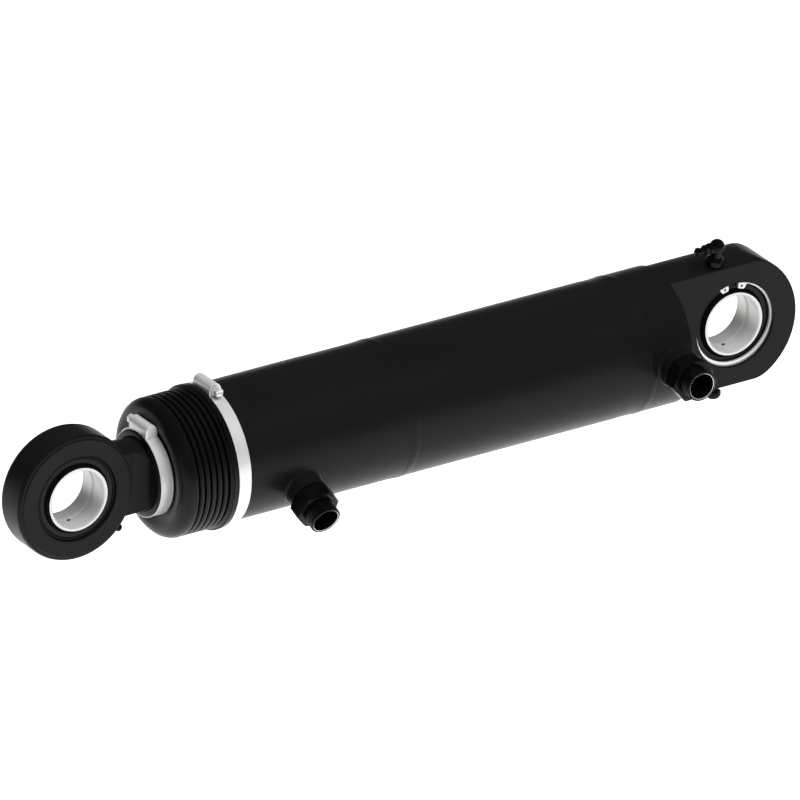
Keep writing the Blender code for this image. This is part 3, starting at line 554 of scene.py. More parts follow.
def gland():
    start, end, _, outer = radii("gland", ALONG_X)
    inner, slack = STAGE_R + 0.5 * MM, 0.3 * MM
    body = lathe("gland_fine", ring_section(start, end, inner, outer), ALONG_X, soft=0.8 * MM)
    for node in ("gland_wiper", "gland_rod_seal", "gland_wear_ring"):
        a, b, _, reach = radii(node, ALONG_X)
        cut_groove(body, a - slack, b + slack, inner - 1 * MM, reach + 0.1 * MM)
    a, b, reach, _ = radii("gland_o_ring", ALONG_X)
    cut_groove(body, a - slack, b + slack, reach - 0.2 * MM, outer + 1 * MM)
    for side in (-1, 1):
        spot = Vector((start, side * 46.5 * MM, 0))
        spanner_hole = plug(spot - ALONG_X * 2 * MM, spot + ALONG_X * 6 * MM, 2.2 * MM, 32)
        combine(body, "DIFFERENCE", spanner_hole)
    stand_in_for(body, "gland")


# Rings and seals


def plain_ring(node, axis, origin=(0, 0, 0), soft=0.5 * MM):
    """A square-section ring with softened edges."""
    profile = ring_section(*radii(node, axis, origin))
    return stand_in_for(lathe(f"{node}_fine", profile, axis, origin, soft=soft), node)


def o_ring(node):
    start, end, inner, outer = radii(node, ALONG_X)
    middle, centre = (start + end) / 2, (inner + outer) / 2
    wide, tall = (end - start) / 2, (outer - inner) / 2
    profile = [(middle + wide * math.cos(t), centre + tall * math.sin(t)) for t in turns_of(24)]
    stand_in_for(lathe(f"{node}_fine", profile, ALONG_X, soft=0), node, 60)


def lip_seal(node, lip_inside=True):
    """A U-section rod or piston seal: two lips with a groove between them."""
    start, end, inner, outer = radii(node, ALONG_X)
    width, rise = end - start, outer - inner
    near, far = inner, outer
    if not lip_inside:
        near, far, rise = outer, inner, -rise
    lips, bottom = end - width * 0.05, end - width * 0.55
    profile = [(start, near + rise * 0.12), (start, far), (end - width * 0.1, far), (end, far - rise * 0.1)]
    profile += [(lips, far - rise * 0.30), (bottom, far - rise * 0.45), (bottom, far - rise * 0.55)]
    profile += [(lips, near + rise * 0.30), (end, near + rise * 0.10), (end - width * 0.12, near)]
    profile += [(end - width * 0.45, near + rise * 0.12)]
    stand_in_for(lathe(f"{node}_fine", profile, ALONG_X, soft=0.15 * MM), node)


def rings():
    for node in ("gland_wear_ring", "stage_1_wear_ring", "stage_1_gland_bush", "rod_piston_wear_ring"):
        plain_ring(node, ALONG_X)
    o_ring("gland_o_ring")
    for node in ("gland_rod_seal", "gland_wiper", "stage_1_gland_seal", "stage_1_gland_wiper"):
        lip_seal(node)
    for node in ("stage_1_piston_seal", "rod_piston_seal"):
        lip_seal(node, False)
    for end, pin in (("base", BASE_PIN), ("rod", ROD_PIN)):
        for side in ("front", "back"):
            plain_ring(f"{end}_bearing_{side}_seal", ALONG_Y, pin, 0.3 * MM)


# Spherical bearings


def sphere_rows(radius, start, end, count):
    places = [start + (end - start) * i / count for i in range(count + 1)]
    return [(y, math.sqrt(radius * radius - y * y)) for y in places]


def bearing(end, pin):
    """The ball with its grooved bore and oil hole, and the outer ring round it."""
    node = f"{end}_bearing_ball"
    start, stop, bore, sphere = radii(node, ALONG_Y, pin)
    groove, groove_half = bore + 1.1 * MM, 2.6 * MM
    profile = sphere_rows(sphere, start, stop, 40)
    profile += [(stop, bore + 0.9 * MM), (stop - 0.9 * MM, bore)]
    profile += [(groove_half, bore), (groove_half - 1.0 * MM, groove)]
    profile += [(-groove_half + 1.0 * MM, groove), (-groove_half, bore)]
    profile += [(start + 0.9 * MM, bore), (start, bore + 0.9 * MM)]
    ball = lathe(f"{node}_fine", profile, ALONG_Y, pin, soft=0.25 * MM, sides=192)
    hole = Vector((0.002, 0, -0.040))
    hole_radius = 1.8 * MM
    combine(ball, "DIFFERENCE", plug(pin, pin + hole, hole_radius, 32))
    stand_in_for(ball, node)
    # Painted shade: the dark steel goes on the ball's spherical outside as a painted dark reflection, and on the
    # oil hole's wall as painted shade in the hole.
    ball.data.materials.append(MATERIALS["dark_steel"])
    for face in ball.data.polygons:
        spot = face.center - pin
        from_hole = spot.cross(hole.normalized()).length
        in_hole = spot.length > groove + 0.3 * MM and from_hole < hole_radius + 0.2 * MM
        if in_hole or spot.length > sphere - 0.35 * MM:
            face.material_index = 1
    node = f"{end}_bearing_outer_ring"
    start, stop, _, outer = radii(node, ALONG_Y, pin)
    race_half = stop - 3.0 * MM
    lip = outer - 2.2 * MM
    race = sphere_rows(sphere + 0.25 * MM, -race_half, race_half, 24)
    profile = [(start, lip), (-race_half, lip)] + race + [(race_half, lip), (stop, lip)]
    profile += [(stop, outer), (start, outer)]
    stand_in_for(lathe(f"{node}_fine", profile, ALONG_Y, pin, soft=0.4 * MM), node)


def circlip():
    """The retaining ring: open at the top, with an eyelet at each end, and widest at the bottom."""
    near, far = low("base_circlip").y, high("base_circlip").y
    outer, eyelet, hole_reach = high("base_circlip").x, 31.2 * MM, 33.5 * MM
    opening, steps = 8.0, 480
    rings = []
    for i in range(steps + 1):
        degrees = 90 + opening + (360 - 2 * opening) * i / steps
        turn = math.radians(degrees)
        from_end = min(degrees - 90 - opening, 450 - opening - degrees)
        inner = (36.0 - 1.8 * max(0.0, -math.sin(turn)) ** 2) * MM
        inner += (eyelet - inner) * (1 - smooth((from_end - 11.0) / 3.0))
        inner += 1.6 * MM * (1 - smooth(from_end / 1.6))
        section = rounded(ring_section(near, far, inner, outer), 0.25 * MM, True, 2)
        rings.append([(r * math.cos(turn), y, r * math.sin(turn)) for y, r in section])
    clip = grid_mesh("base_circlip_fine", rings, False)
    for side in (-1, 1):
        turn = math.radians(90 + side * (opening + 6.0))
        spot = Vector((hole_reach * math.cos(turn), near - 2 * MM, hole_reach * math.sin(turn)))
        combine(clip, "DIFFERENCE", plug(spot, spot + ALONG_Y * 0.008, 1.2 * MM, 32))
    stand_in_for(clip, "base_circlip")


# Eyes


def seat_cutter(pin, half, edge, circlip):
    """The stepped, chamfered bore for a bearing."""
    front = -half
    seat, lip, deep, groove = 37.5 * MM, 34.0 * MM, 14.3 * MM, 39 * MM
    profile = [(front - 1 * MM, 0), (front - 1 * MM, seat + edge + 1 * MM), (front + edge, seat)]
    if circlip:
        rear = -14.15 * MM
        fore = rear - 3.0 * MM
        profile += [(fore, seat), (fore, groove), (rear, groove), (rear, seat)]
    profile += [(deep, seat), (deep, lip), (half - 0.8 * MM, lip), (half + 1 * MM, lip + 1.8 * MM)]
    profile += [(half + 1 * MM, 0)]
    return lathe("cutter", profile, ALONG_Y, pin, closed=False, soft=0, sides=192)


def tongue_ring(y, half, end_radius, round_radius, corner, edge, rear):
    """The tongue's outline at a distance from its middle plane, shrunk near its faces."""
    inset = 0.0
    if abs(y) > half - edge:
        inset = edge - math.sqrt(max(0.0, edge**2 - (abs(y) - half + edge) ** 2))
    top = math.sqrt(round_radius**2 - y * y) - inset
    radius, corner = end_radius - inset, corner - inset
    up = top - corner
    along = math.sqrt((radius - corner) ** 2 - up * up)
    bend = math.atan2(up, along)
    line, blend, sweep = 20, 24, 60
    quarter = math.pi / 2
    upper = []
    for i in range(blend + 1):
        turn = bend + (quarter - bend) * i / blend
        upper.append((along + corner * math.cos(turn), y, up + corner * math.sin(turn)))
    upper += [(along + (rear - along) * (i + 1) / line, y, top) for i in range(line)]
    lower = [(x, y, -z) for x, y, z in reversed(upper)]
    turns = [-bend + 2 * bend * (i + 1) / sweep for i in range(sweep - 1)]
    return lower + [(radius * math.cos(t), y, radius * math.sin(t)) for t in turns] + upper


def base_eye():
    box_low, box_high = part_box("base_eye")
    spigot = box_low.x
    half = 20 * MM
    weld = high("barrel_tube").x + 1 * MM
    shoulder = -64.5 * MM
    recess = 49.7 * MM
    profile = [(spigot, 0), (spigot, recess), (weld, recess), (weld, BEVEL_R), (weld + BEVEL, BARREL_R)]
    profile += [(shoulder - 0.8 * MM, BARREL_R), (shoulder, BARREL_R - 0.8 * MM)]
    profile += in_mm([(-63.8, 54.4), (-62.6, 50.6), (-60.4, 46.6), (-57.6, 42.0), (-55.0, 36.8)])
    profile += in_mm([(-52.9, 31.0), (-50.9, 25.2), (-48.0, 20.4), (-44.5, 16.8), (-44.5, 0)])
    eye = lathe("base_eye_fine", profile, ALONG_X, closed=False, soft=0.5 * MM, sides=192)
    edge = 0.9 * MM
    inner = [half - edge + edge * math.sin(turn) for turn in arc(0, 90, 6)]
    flat = [(half - edge) * i / 8 for i in range(8)]
    places = [-y for y in reversed(inner)] + [-y for y in reversed(flat[1:])] + flat + inner
    round_radius, corner, rear = 57.6 * MM, 26 * MM, -72 * MM
    rows = [tongue_ring(y, half, box_high.x, round_radius, corner, edge, rear) for y in places]
    combine(eye, "UNION", grid_mesh("tongue", rows, False, whole_ends=True))
    combine(eye, "DIFFERENCE", seat_cutter(BASE_PIN, half, 0.8 * MM, True))
    stand_in_for(eye, "base_eye")


def soft_limit(value, limit, blend):
    """The smaller of a value and a limit, with the corner between them rounded."""
    gap = max(0.0, blend - abs(value - limit)) / blend
    return min(value, limit) - gap * gap * blend / 4


def neck_ring(x, half, radius, sides):
    """The neck's section: a circle with two flats, its corners a little rounded."""
    ring = []
    for turn in turns_of(sides):
        across, up = radius * math.cos(turn), radius * math.sin(turn)
        across = math.copysign(soft_limit(abs(across), half, 0.7 * MM), across)
        ring.append((x, across, up))
    return ring


def rod_eye():
    pin = ROD_PIN
    box_low = low("rod_eye")
    radius = pin.x - box_low.x
    half, face_half, face = 15.0 * MM, 16.0 * MM, 51.5 * MM
    side = [(face_half, 0), (face_half, face), (half, face + 0.8 * MM), (half - 0.3 * MM, face + 2.6 * MM)]
    side += [(half - 1.4 * MM, radius - 0.7 * MM), (half - 3.2 * MM, radius)]
    profile = [(-y, reach) for y, reach in side] + side[::-1]
    eye = lathe("rod_eye_fine", profile, ALONG_Y, pin, closed=False, soft=0.35 * MM, sides=192)
    flat = half - 0.05 * MM
    flat_end = pin.x + 53 * MM
    fillet = 12.5 * MM
    neck = 31.5 * MM
    root = pin.x + 20.5 * MM
    places = [(root + (flat_end - root) * i / 12, flat) for i in range(12)]
    for turn in arc(0, 90, 24):
        places.append((flat_end + fillet * math.sin(turn), flat + fillet * (1 - math.cos(turn))))
    last, clear = places[-1][0], neck * 1.05
    places += [(last + 0.05 * MM, flat + fillet + 1.5 * MM), (last + 0.15 * MM, clear)]
    places += [(last + (NECK_END_X - 1.2 * MM - last) * i / 5, clear) for i in range(1, 6)]
    rows = [neck_ring(x, wide, neck, 192) for x, wide in places]
    rows.append(neck_ring(NECK_END_X, clear, neck - 1.2 * MM, 192))
    combine(eye, "UNION", grid_mesh("neck", rows, False))
    combine(eye, "DIFFERENCE", seat_cutter(pin, face_half, 0.7 * MM, False))
    socket = Vector((low("rod").x - 0.3 * MM, 0, 0))
    combine(eye, "DIFFERENCE", plug(socket, Vector((NECK_END_X + 2 * MM, 0, 0)), 15.8 * MM))
    stand_in_for(eye, "rod_eye")


# Moving stages


def ring_groove(body, node, outside):
    """Cuts the groove that a ring node sits in."""
    a, b, inner, outer = radii(node, ALONG_X)
    side = (inner - 0.2 * MM, outer + 2 * MM) if outside else (inner - 2 * MM, outer + 0.2 * MM)
    cut_groove(body, a - 0.2 * MM, b + 0.2 * MM, *side)


def stage_1():
    start, end, bore, piston = radii("stage_1_tube", ALONG_X)
    head = end - 30 * MM
    profile = [(end, bore), (end, piston), (head, piston), (head, STAGE_R), (start + 1 * MM, STAGE_R)]
    profile += [(start, STAGE_R - 1 * MM), (start, bore)]
    tube = lathe("stage_1_tube_fine", profile, ALONG_X, soft=0.5 * MM)
    for node in ("stage_1_wear_ring", "stage_1_piston_seal"):
        ring_groove(tube, node, True)
    stand_in_for(tube, "stage_1_tube")
    start, end, _, collar = radii("stage_1_gland", ALONG_X)
    inner, outer = ROD_R + 0.4 * MM, bore - 0.3 * MM
    step = start + 3.0 * MM
    profile = [(start, inner), (start, collar), (step, collar), (step, outer), (end, outer), (end, inner)]
    body = lathe("stage_1_gland_fine", profile, ALONG_X, soft=0.5 * MM)
    for node in ("stage_1_gland_wiper", "stage_1_gland_seal", "stage_1_gland_bush"):
        ring_groove(body, node, False)
    stand_in_for(body, "stage_1_gland")


def rod():
    start, end = low("rod").x, high("rod").x
    shoulder = NECK_END_X + 0.3 * MM
    piston = low("rod_piston").x - 0.3 * MM
    stub, tail = 15.5 * MM, 14.0 * MM
    profile = [(start, 0), (start, stub - 1 * MM), (start + 1 * MM, stub), (shoulder, stub)]
    profile += [(shoulder, ROD_R), (piston, ROD_R), (piston, tail), (end - 1 * MM, tail)]
    profile += [(end, tail - 1 * MM), (end, 0)]
    stand_in_for(lathe("rod_fine", profile, ALONG_X, closed=False, soft=0.5 * MM), "rod")
    start, end, bore, outer = radii("rod_piston", ALONG_X)
    piston = lathe("rod_piston_fine", ring_section(start, end, bore, outer), ALONG_X, soft=0.7 * MM)
    for node in ("rod_piston_wear_ring", "rod_piston_seal"):
        ring_groove(piston, node, True)
    stand_in_for(piston, "rod_piston")
    start, end = low("piston_nut").x, high("piston_nut").x
    rows = [(start, bore)] + hex_rows(start, end, 36 * MM) + [(end, bore)]
    stand_in_for(nut_lathe("piston_nut_fine", rows, ALONG_X, (0, 0, 0)), "piston_nut")


# Ports


def port_line(end):
    """Where a port leaves the barrel's axis, and its direction, from its mount."""
    mount = next(row for row in frame["record"]["mounts"] if row["name"] == f"{end}_port_face")
    line = Vector(mount["axis"]).normalized()
    x = (low(f"{end}_port_adapter").x + high(f"{end}_port_adapter").x) / 2
    return Vector((x, 0, 0)), line


def port_boss(end, foot, line):
    """The boss: it follows the barrel's round at its foot, with a small weld fillet."""
    radius, top, passage = 16.3 * MM, 69.0 * MM, 6.0 * MM
    flare, sides = 2.4 * MM, 160
    first, second = axes_for(line)
    rows = []

    def row(rho, height, follow):
        ring = []
        for turn in turns_of(sides):
            side = first * math.cos(turn) + second * math.sin(turn)
            spot = side * rho
            away = (spot - ALONG_X * spot.x).length
            surface = math.sqrt(max(0.0, BARREL_R**2 - away**2))
            along = surface + height if follow else height
            ring.append(tuple(foot + spot + line * along))
        rows.append(ring)

    row(passage, -1.0 * MM, True)
    row(radius + flare, -0.6 * MM, True)
    for turn in arc(0, 90, 6):
        row(radius + flare * (1 - math.sin(turn)), flare * (1 - math.cos(turn)), True)
    row(radius, top - 1.0 * MM, False)
    row(radius - 0.3 * MM, top - 0.3 * MM, False)
    row(radius - 1.0 * MM, top, False)
    row(10.8 * MM, top, False)
    row(10.8 * MM, 61.5 * MM, False)
    row(passage, 61.5 * MM, False)
    stand_in_for(grid_mesh(f"{end}_port_boss_fine", rows, True), f"{end}_port_boss")


def port_adapter(end, foot, line):
    """The adapter: stud, hexagon, undercut, threaded nose, and cone mouth whose chamfer carries a thin pale ring,
    a painted highlight.
    """
    start, tip, _, _ = radii(f"{end}_port_adapter", line, foot)
    hex_low = 70.8 * MM
    hex_high = hex_low + 15.0 * MM
    flats, nose, stud = 34.5 * MM, 13.5 * MM, 10.5 * MM
    bore = 6.0 * MM
    thread = (hex_high + 2.0 * MM, tip - 0.8 * MM, 1.5 * MM, 0.45 * MM)
    rows = [(start, bore), (start, stud), (hex_low, stud), (hex_low, flats / 2 * 0.955)]
    rows += hex_rows(hex_low + 0.4 * MM, hex_high, flats, flats / 2 * 0.985)
    rows += [(hex_high, nose + 0.4 * MM), (hex_high, nose - 1.2 * MM)]
    rows += [(thread[0], nose - 1.2 * MM), (thread[0] + 0.4 * MM, nose)]
    rows += thread_rows(thread[0] + 0.5 * MM, thread[1], nose, thread[2])
    rows += [(tip, nose - 0.8 * MM), (tip, 11.6 * MM), (tip - 0.3 * MM, 11.2 * MM)]
    rows += [(tip - 8 * MM, 9.8 * MM), (tip - 18 * MM, 9.8 * MM), (tip - 18 * MM, bore)]
    node, twist = f"{end}_port_adapter", math.radians(21)
    adapter = nut_lathe(f"{node}_fine", rows, line, foot, sides=144, thread=thread, twist=twist)
    stand_in_for(adapter, node)
    # Painted highlight: a thin band of pale zinc round the mouth's rim stands in for the rim's highlight.
    adapter.data.materials.append(MATERIALS["zinc_plate"])
    for face in adapter.data.polygons:
        depth = tip - (face.center - foot).dot(line)
        if 0.05 * MM < depth < 0.25 * MM:
            face.material_index = 1


def ports():
    for end in ("front", "rear"):
        foot, line = port_line(end)
        port_boss(end, foot, line)
        port_adapter(end, foot, line)
        plain_ring(f"{end}_port_seal", line, foot, 0.3 * MM)


# Boot


def boot_outline():
    """The boot's outer line and inner line, from the small cuff to the large one."""
    small, big = 36.5 * MM, 61.7 * MM
    front, rear = low("bellows_boot").x, high("bellows_boot").x
    skin = 1.15 * MM
    crest, valley = 59.5 * MM, 41.5 * MM
    strap_low, strap_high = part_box("rod_clamp_band")
    outer = [(front, 33.6 * MM), (front + 0.6 * MM, 35.9 * MM), (front + 1.6 * MM, small + 0.5 * MM)]
    outer += [(strap_low.x - 0.2 * MM, small + 0.5 * MM), (strap_low.x + 0.1 * MM, small)]
    outer += [(strap_high.x + 0.1 * MM, small), (-555.4 * MM, small + 1.4 * MM)]
    outer += in_mm([(-556.0, 41.0), (-557.0, 44.2), (-557.5, 47.2), (-557.3, 50.2), (-556.4, 53.2)])
    outer += in_mm([(-554.8, 55.8), (-552.6, 57.8), (-550.0, 59.0)])
    outer += [(-547.2 * MM, crest), (-545.5 * MM, crest - 0.1 * MM), (-544.95 * MM, crest - 0.7 * MM)]
    inner = [(front, 31.7 * MM)]
    inner += in_mm([(-555.0, 31.7), (-553.6, 34.0), (-554.6, 41.5), (-555.8, 48.0), (-554.4, 53.0)])
    inner += [(-551.4 * MM, 56.8 * MM), (-547.6 * MM, crest - skin)]
    pitch, first = 5.7 * MM, -544.0 * MM
    slot = 0.80 * MM
    half, wall, lip = pitch / 2 - slot, slot * 0.40, crest - skin - 1.0 * MM
    grooves = 6
    for i in range(grooves):
        middle = first + i * pitch
        outer += [(middle - slot, crest - 1.6 * MM), (middle - wall, valley + 0.8 * MM), (middle, valley)]
        outer += [(middle + wall, valley + 0.8 * MM), (middle + slot, crest - 1.6 * MM)]
        inner += [(middle - slot - skin, lip), (middle - wall - skin, valley + 0.2 * MM)]
        inner += [(middle, valley - skin), (middle + wall + skin, valley + 0.2 * MM)]
        inner += [(middle + slot + skin, lip)]
        if i < grooves - 1:
            top = middle + pitch / 2
            for turn in arc(-66, 66, 6):
                outer.append((top + half * math.sin(turn), crest - 1.7 * MM * (1 - math.cos(turn))))
            inner.append((top, crest - skin))
    band_low, band_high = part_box("barrel_clamp_band")
    seat, under = BARREL_R - 0.5 * MM, band_high.z - 0.75 * MM
    outer += [(first + (grooves - 1) * pitch + slot + 0.2 * MM, crest - 0.4 * MM), (-513.4 * MM, crest)]
    outer += [(-512.4 * MM, crest + 0.6 * MM), (-511.6 * MM, big), (band_low.x - 0.6 * MM, big)]
    outer += [(band_low.x - 0.15 * MM, big - 0.5 * MM), (band_low.x - 0.05 * MM, under)]
    outer += [(band_high.x + 0.1 * MM, under), (rear, band_high.z - 1.0 * MM)]
    inner += [(HEAD_FRONT_X - 0.6 * MM, 56.6 * MM), (HEAD_FRONT_X - 0.3 * MM, seat), (rear, seat)]
    return outer, inner


def bellows_boot():
    outer, inner = boot_outline()
    profile = outer + inner[::-1]
    boot = lathe("bellows_boot_fine", profile, ALONG_X, soft=0.5 * MM, sides=192)
    finish(boot, "boot_rubber", None, ["bellows_boot"], 60)
    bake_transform(boot)


# Clamps


def clamp_band(end, middle, half, radius, skin, tail_from, tail_to):
    """The band, its rims rolled up a little, and the loose tail that lies on it."""
    side = [(half - 0.8 * MM, radius - skin), (half, radius - skin + 0.25 * MM), (half, radius + 0.05 * MM)]
    side += [(half - 0.5 * MM, radius + 0.10 * MM), (half - 1.1 * MM, radius - 0.05 * MM)]
    profile = [(-x, reach) for x, reach in side] + side[::-1]
    band = lathe(f"{end}_clamp_band_fine", profile, ALONG_X, (middle, 0, 0), soft=0.15 * MM, sides=192)
    wide, lift, thick = half - 1.3 * MM, radius + 0.15 * MM, 0.7 * MM
    count = 40
    rings = []
    for i in range(count + 1):
        turn = math.radians(tail_from + (tail_to - tail_from) * i / count)
        near = max(0.0, i / count * 7 - 6)
        width = wide * (1 - 0.55 * near**2)
        section = [(-width, lift), (width, lift), (width, lift + thick), (-width, lift + thick)]
        section = rounded(section, 0.2 * MM, True, 2)
        rings.append([(middle + x, math.sin(turn) * r, math.cos(turn) * r) for x, r in section])
    tail = grid_mesh("tail", rings, False)
    bm = bmesh.new()
    bm.from_mesh(band.data)
    bm.from_mesh(tail.data)
    bm.to_mesh(band.data)
    bm.free()
    bpy.data.objects.remove(tail)
    stand_in_for(band, f"{end}_clamp_band")


def smooth(value):
    value = min(1.0, max(0.0, value))
    return value * value * (3 - 2 * value)


def clamp_housing(end, middle, half, radius, lift, bore, facing):
    """The pressed housing: a closed-ended tunnel over the screw, flared into a saddle on the band."""
    shell, plate, foot = bore + 2.6 * MM, 1.1 * MM, half - 0.1 * MM
    span, saddle = 13.2 * MM, 8.0 * MM
    round_end = 1.3 * MM
    rings = []
    count = 88
    for i in range(count + 1):
        u = -span + 2 * span * i / count
        surface = math.sqrt(radius**2 - u * u) + 0.3 * MM
        flare = 1 - smooth((abs(u) - saddle) / (1.6 * MM))
        tip = max(0.0, (-u - span + round_end) / round_end)
        shrink = math.sqrt(max(0.02, 1 - tip * tip))
        arch = shell * (0.78 + 0.22 * shrink)
        width = arch + (foot - arch) * flare
        bottom = max(surface, radius + lift - shell * 0.92)
        bottom = bottom + (surface - bottom) * flare
        side, rise, drop = bottom + plate, 1.3 * MM * flare, (shell - arch) * 0.3
        flank = []
        for turn in arc(0, 90, 6):
            across = arch + (width - arch) * (1 - math.sin(turn)) ** 2
            flank.append((across, side + rise * (1 - math.cos(turn))))
        ring = [(-width, bottom), (width, bottom), (width, side)] + flank
        for turn in arc(0, 180, 20):
            up = radius + lift + arch * math.sin(turn) - drop
            ring.append((arch * math.cos(turn), max(side + rise, up)))
        ring += [(-across, up) for across, up in reversed(flank)] + [(-width, side)]
        rings.append([(middle + x, -facing * u, z) for x, z in ring])
    housing = grid_mesh(f"{end}_clamp_housing_fine", rings, False)
    back = Vector((middle, facing * (span - 1.6 * MM), radius + lift))
    front = Vector((middle, -facing * (span + 3 * MM), radius + lift))
    combine(housing, "DIFFERENCE", plug(back, front, bore, 48))
    stand_in_for(housing, f"{end}_clamp_housing", 40)


def clamp_screw(end, middle, radius, lift, shank, flats, facing):
    """The worm screw: thread inside the tunnel, a collar, and a slotted hexagonal head."""
    span = 13.2 * MM
    start, neck, top = -span + 2.0 * MM, span + 1.1 * MM, span + 7.6 * MM
    corner, flat, waist = flats / math.sqrt(3), flats / 2, shank * 0.8
    chamfer, dome, crown = flat * 0.98, 1.6 * MM, flat * 0.55
    rows = [(start, 0), (start, shank * 0.6), (start + 0.8 * MM, shank)]
    rows += thread_rows(start + 1 * MM, span - 1 * MM, shank, 1.6 * MM)
    rows += [(span, waist), (neck, waist), (neck, corner), (neck + 0.9 * MM, corner * 1.08)]
    rows += [(neck + 1.3 * MM, corner * 1.08), (neck + 1.5 * MM, chamfer)]
    for i in range(5):
        rows.append((neck + 1.55 * MM + 0.25 * MM * i, chamfer + (corner - flat) * i / 4, flats))
    for turn in arc(0, 90, 6):
        rows.append((top - dome + dome * math.sin(turn), crown + (corner - crown) * math.cos(turn), flats))
    rows.append((top - 0.3 * MM, 0))
    thread = (start + 1 * MM, span - 1 * MM, 1.6 * MM, 0.6 * MM)
    origin = Vector((middle, 0, radius + lift))
    axis = ALONG_Y * -facing
    screw = nut_lathe(f"{end}_clamp_screw_fine", rows, axis, origin, closed=False, sides=72, thread=thread)
    corners = [Vector((x, 0, z)) * MM for x, z in ((-6, -0.5), (6, -0.5), (6, 0.5), (-6, 0.5))]
    depths = (top - 1.5 * MM, top + 1.5 * MM)
    slot = [[tuple(origin + axis * depth + corner) for corner in corners] for depth in depths]
    combine(screw, "DIFFERENCE", grid_mesh("cutter", slot, False))
    stand_in_for(screw, f"{end}_clamp_screw")


def clamp(end, facing):
    """A worm-drive clamp. Its screw's head points along -Y when facing is 1, and +Y when it is -1."""
    band_low, band_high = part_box(f"{end}_clamp_band")
    middle, half = (band_low.x + band_high.x) / 2, (band_high.x - band_low.x) / 2
    radius = band_high.z
    lift, shank = 3.2 * MM, 2.8 * MM
    clamp_band(end, middle, half, radius, 0.7 * MM, 12, 52)
    clamp_housing(end, middle, half, radius, lift, shank + 0.3 * MM, facing)
    clamp_screw(end, middle, radius, lift, shank, 7.2 * MM, facing)


# Lubrication fittings


def radial_line(tilt):
    """A direction from the axis, tilted from +Z towards -Y, in degrees."""
    return Vector((0, -math.sin(math.radians(tilt)), math.cos(math.radians(tilt))))


def nipple_rows(start):
    """The conical head of a grease nipple above its hexagon."""
    head = [(0, 3.0), (1.6, 3.0), (2.4, 2.5), (3.4, 2.5), (4.0, 3.0), (4.6, 3.4), (6.4, 3.4), (7.0, 3.1)]
    return in_mm(head + [(8.0, 2.2), (8.4, 1.7), (8.2, 1.0), (7.8, 0.0)], start)


def grease_elbow():
    line, foot = radial_line(13.0), Vector((-16.5 * MM, 0, 0))
    face = 57.9 * MM
    centre = face + 18.7 * MM
    flats = 14.0 * MM
    rows = in_mm([(-8.9, 0), (-8.9, 4.0), (0, 4.0), (0, 5.6)], face)
    for i in range(7):
        rows.append((face + 0.2 * MM + 2.9 * MM * i / 6, (5.8 + 2.3 * i / 6) * MM, flats))
    for i in range(9):
        rows.append((face + 5.4 * MM + 3.8 * MM * i / 8, (8.1 - 2.8 * i / 8) * MM, flats))
    rows += [(face + 9.6 * MM, 4.9 * MM), (centre - 5.6 * MM, 4.8 * MM), (centre - 4.7 * MM, 4.9 * MM)]
    dome = 6.6 * MM
    for turn in arc(-42, 90, 16):
        rows.append((centre + dome * math.sin(turn), dome * math.cos(turn)))
    rows[-1] = (centre + dome, 0)
    elbow = nut_lathe("base_grease_elbow_fine", rows, line, foot, closed=False, sides=96)
    middle = foot + line * centre
    arm = in_mm([(-1, 0), (-1, 4.7), (8.2, 4.7), (8.8, 4.2), (8.8, 0)])
    combine(elbow, "UNION", lathe("arm", arm, -ALONG_X, middle, closed=False, soft=0.3 * MM, sides=64))
    combine(elbow, "DIFFERENCE", plug(middle - ALONG_X * 5 * MM, middle - ALONG_X * 20 * MM, 2.9 * MM, 48))
    stand_in_for(elbow, "base_grease_elbow", 35)
    rows = in_mm([(5.4, 0), (5.4, 2.6), (9.1, 2.6)])
    rows += hex_rows(9.1 * MM, 13.2 * MM, 8.4 * MM, 3.9 * MM) + nipple_rows(13.2 * MM)
    nipple = nut_lathe("base_grease_nipple_fine", rows, -ALONG_X, middle, closed=False, sides=72)
    stand_in_for(nipple, "base_grease_nipple")


def grease_plug():
    line, foot = radial_line(167.0), Vector((-17.5 * MM, 0, 0))
    face = 57.9 * MM
    top = face + 8.5 * MM
    rows = in_mm([(-8.9, 0), (-8.9, 4.0), (0, 4.0), (0, 5.0), (1.2, 5.0), (1.8, 6.2), (2.2, 6.4)], face)
    rows += in_mm([(-4.5, 6.4), (-3.0, 6.15), (-1.6, 5.4), (-0.5, 4.3), (0, 3.4)], top)
    rows += in_mm([(-0.02 - 0.5 * i / 4, 2.95 - 0.1 * i) for i in range(5)], top)
    socket = 5.0 * MM
    rows += [(top - 0.6 * MM, 2.9 * MM, socket), (top - 4.0 * MM, 2.9 * MM, socket), (top - 4.4 * MM, 0)]
    fitting = nut_lathe("base_grease_plug_fine", rows, line, foot, closed=False, sides=72)
    stand_in_for(fitting, "base_grease_plug")


def rod_nipple():
    tilt = math.radians(42.5)
    line = Vector((math.cos(tilt), 0, -math.sin(tilt)))
    face = 55.8 * MM
    rows = in_mm([(-9.3, 0), (-9.3, 4.0), (0, 4.0), (0, 4.4)], face)
    rows += hex_rows(face + 0.4 * MM, face + 4.4 * MM, 9.5 * MM, 4.5 * MM) + nipple_rows(face + 4.5 * MM)
    nipple = nut_lathe("rod_grease_nipple_fine", rows, line, ROD_PIN, closed=False, sides=72)
    stand_in_for(nipple, "rod_grease_nipple")


# Build

barrel_tube()
barrel_head()
weld_bead("front_weld_bead")
weld_bead("rear_weld_bead")
gland()
rings()
bearing("base", BASE_PIN)
bearing("rod", ROD_PIN)
circlip()
base_eye()
rod_eye()
stage_1()
rod()
ports()
bellows_boot()
clamp("barrel", 1)
clamp("rod", -1)
grease_elbow()
grease_plug()
rod_nipple()

# CAD nodes that keep their own shape get the finished material
for name, node in frame["nodes"].items():
    if not node.hide_render:
        node.data.materials.clear()
        node.data.materials.append(MATERIALS[slot_of(name)])


# Studio


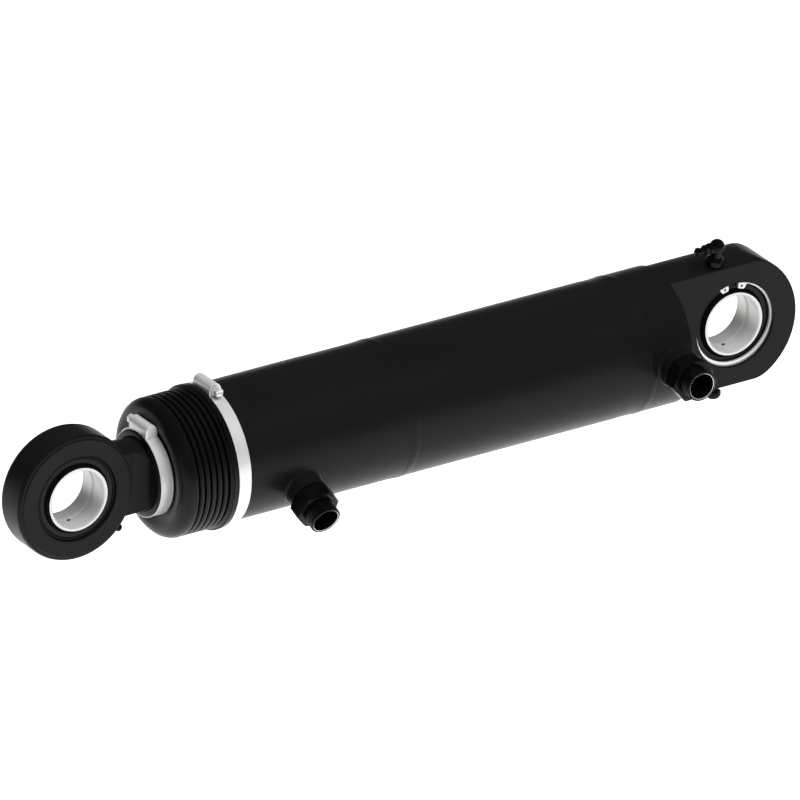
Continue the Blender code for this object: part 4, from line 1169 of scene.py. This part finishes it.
def studio():
    mesh = bpy.data.meshes.new("floor")
    size, height = 40.0, -0.75
    corners = [(-size, -size, height), (size, -size, height), (size, size, height), (-size, size, height)]
    mesh.from_pydata(corners, [], [(0, 1, 2, 3)])
    floor = new_object("floor", mesh)
    floor.data.materials.append(studio_floor())
    world = bpy.data.worlds.new("studio")
    world.use_nodes = True
    tree = world.node_tree
    dim = tree.nodes["Background"]
    dim.inputs["Color"].default_value = (1, 1, 1, 1)
    dim.inputs["Strength"].default_value = 0.06
    plain = tree.nodes.new("ShaderNodeBackground")
    plain.inputs["Color"].default_value = (1, 1, 1, 1)
    path = tree.nodes.new("ShaderNodeLightPath")
    choice = tree.nodes.new("ShaderNodeMixShader")
    tree.links.new(path.outputs["Is Camera Ray"], choice.inputs["Fac"])
    tree.links.new(dim.outputs["Background"], choice.inputs[1])
    tree.links.new(plain.outputs["Background"], choice.inputs[2])
    tree.links.new(choice.outputs["Shader"], tree.nodes["World Output"].inputs["Surface"])
    bpy.context.scene.world = world

    def soft_box(name, place, target, size_x, size_y, power):
        data = bpy.data.lights.new(name, "AREA")
        data.shape = "RECTANGLE"
        data.size, data.size_y = size_x, size_y
        data.energy = power
        light = new_object(name, data)
        light.location = place
        light.rotation_mode = "QUATERNION"
        light.rotation_quaternion = (Vector(target) - Vector(place)).to_track_quat("-Z", "Y")
        light.visible_glossy = False

    centre = (-0.31, 0, 0)
    soft_box("key", (0.1, -1.7, 3.2), centre, 3.0, 3.0, 210)
    soft_box("back", (0.6, 2.6, 2.2), centre, 3.0, 1.5, 45)


def camera():
    """A long lens far away, so that the view is almost parallel."""
    azimuth, elevation = math.radians(-32.0), math.radians(25.4)
    width = 658.2 * MM
    data = bpy.data.cameras.new("camera")
    data.lens = 1600
    data.sensor_width = 36
    distance = width * data.lens / data.sensor_width
    target = Vector((-314.4 * MM, 0, 2.5 * MM))
    level = math.cos(elevation)
    back = Vector((math.sin(azimuth) * level, -math.cos(azimuth) * level, math.sin(elevation)))
    cam = new_object("camera", data)
    cam.location = target + back * distance
    cam.rotation_mode = "QUATERNION"
    cam.rotation_quaternion = (-back).to_track_quat("-Z", "Y")
    data.clip_start, data.clip_end = 0.1, distance * 6
    bpy.context.scene.camera = cam


studio()
camera()
bpy.context.scene.view_settings.view_transform = "Standard"
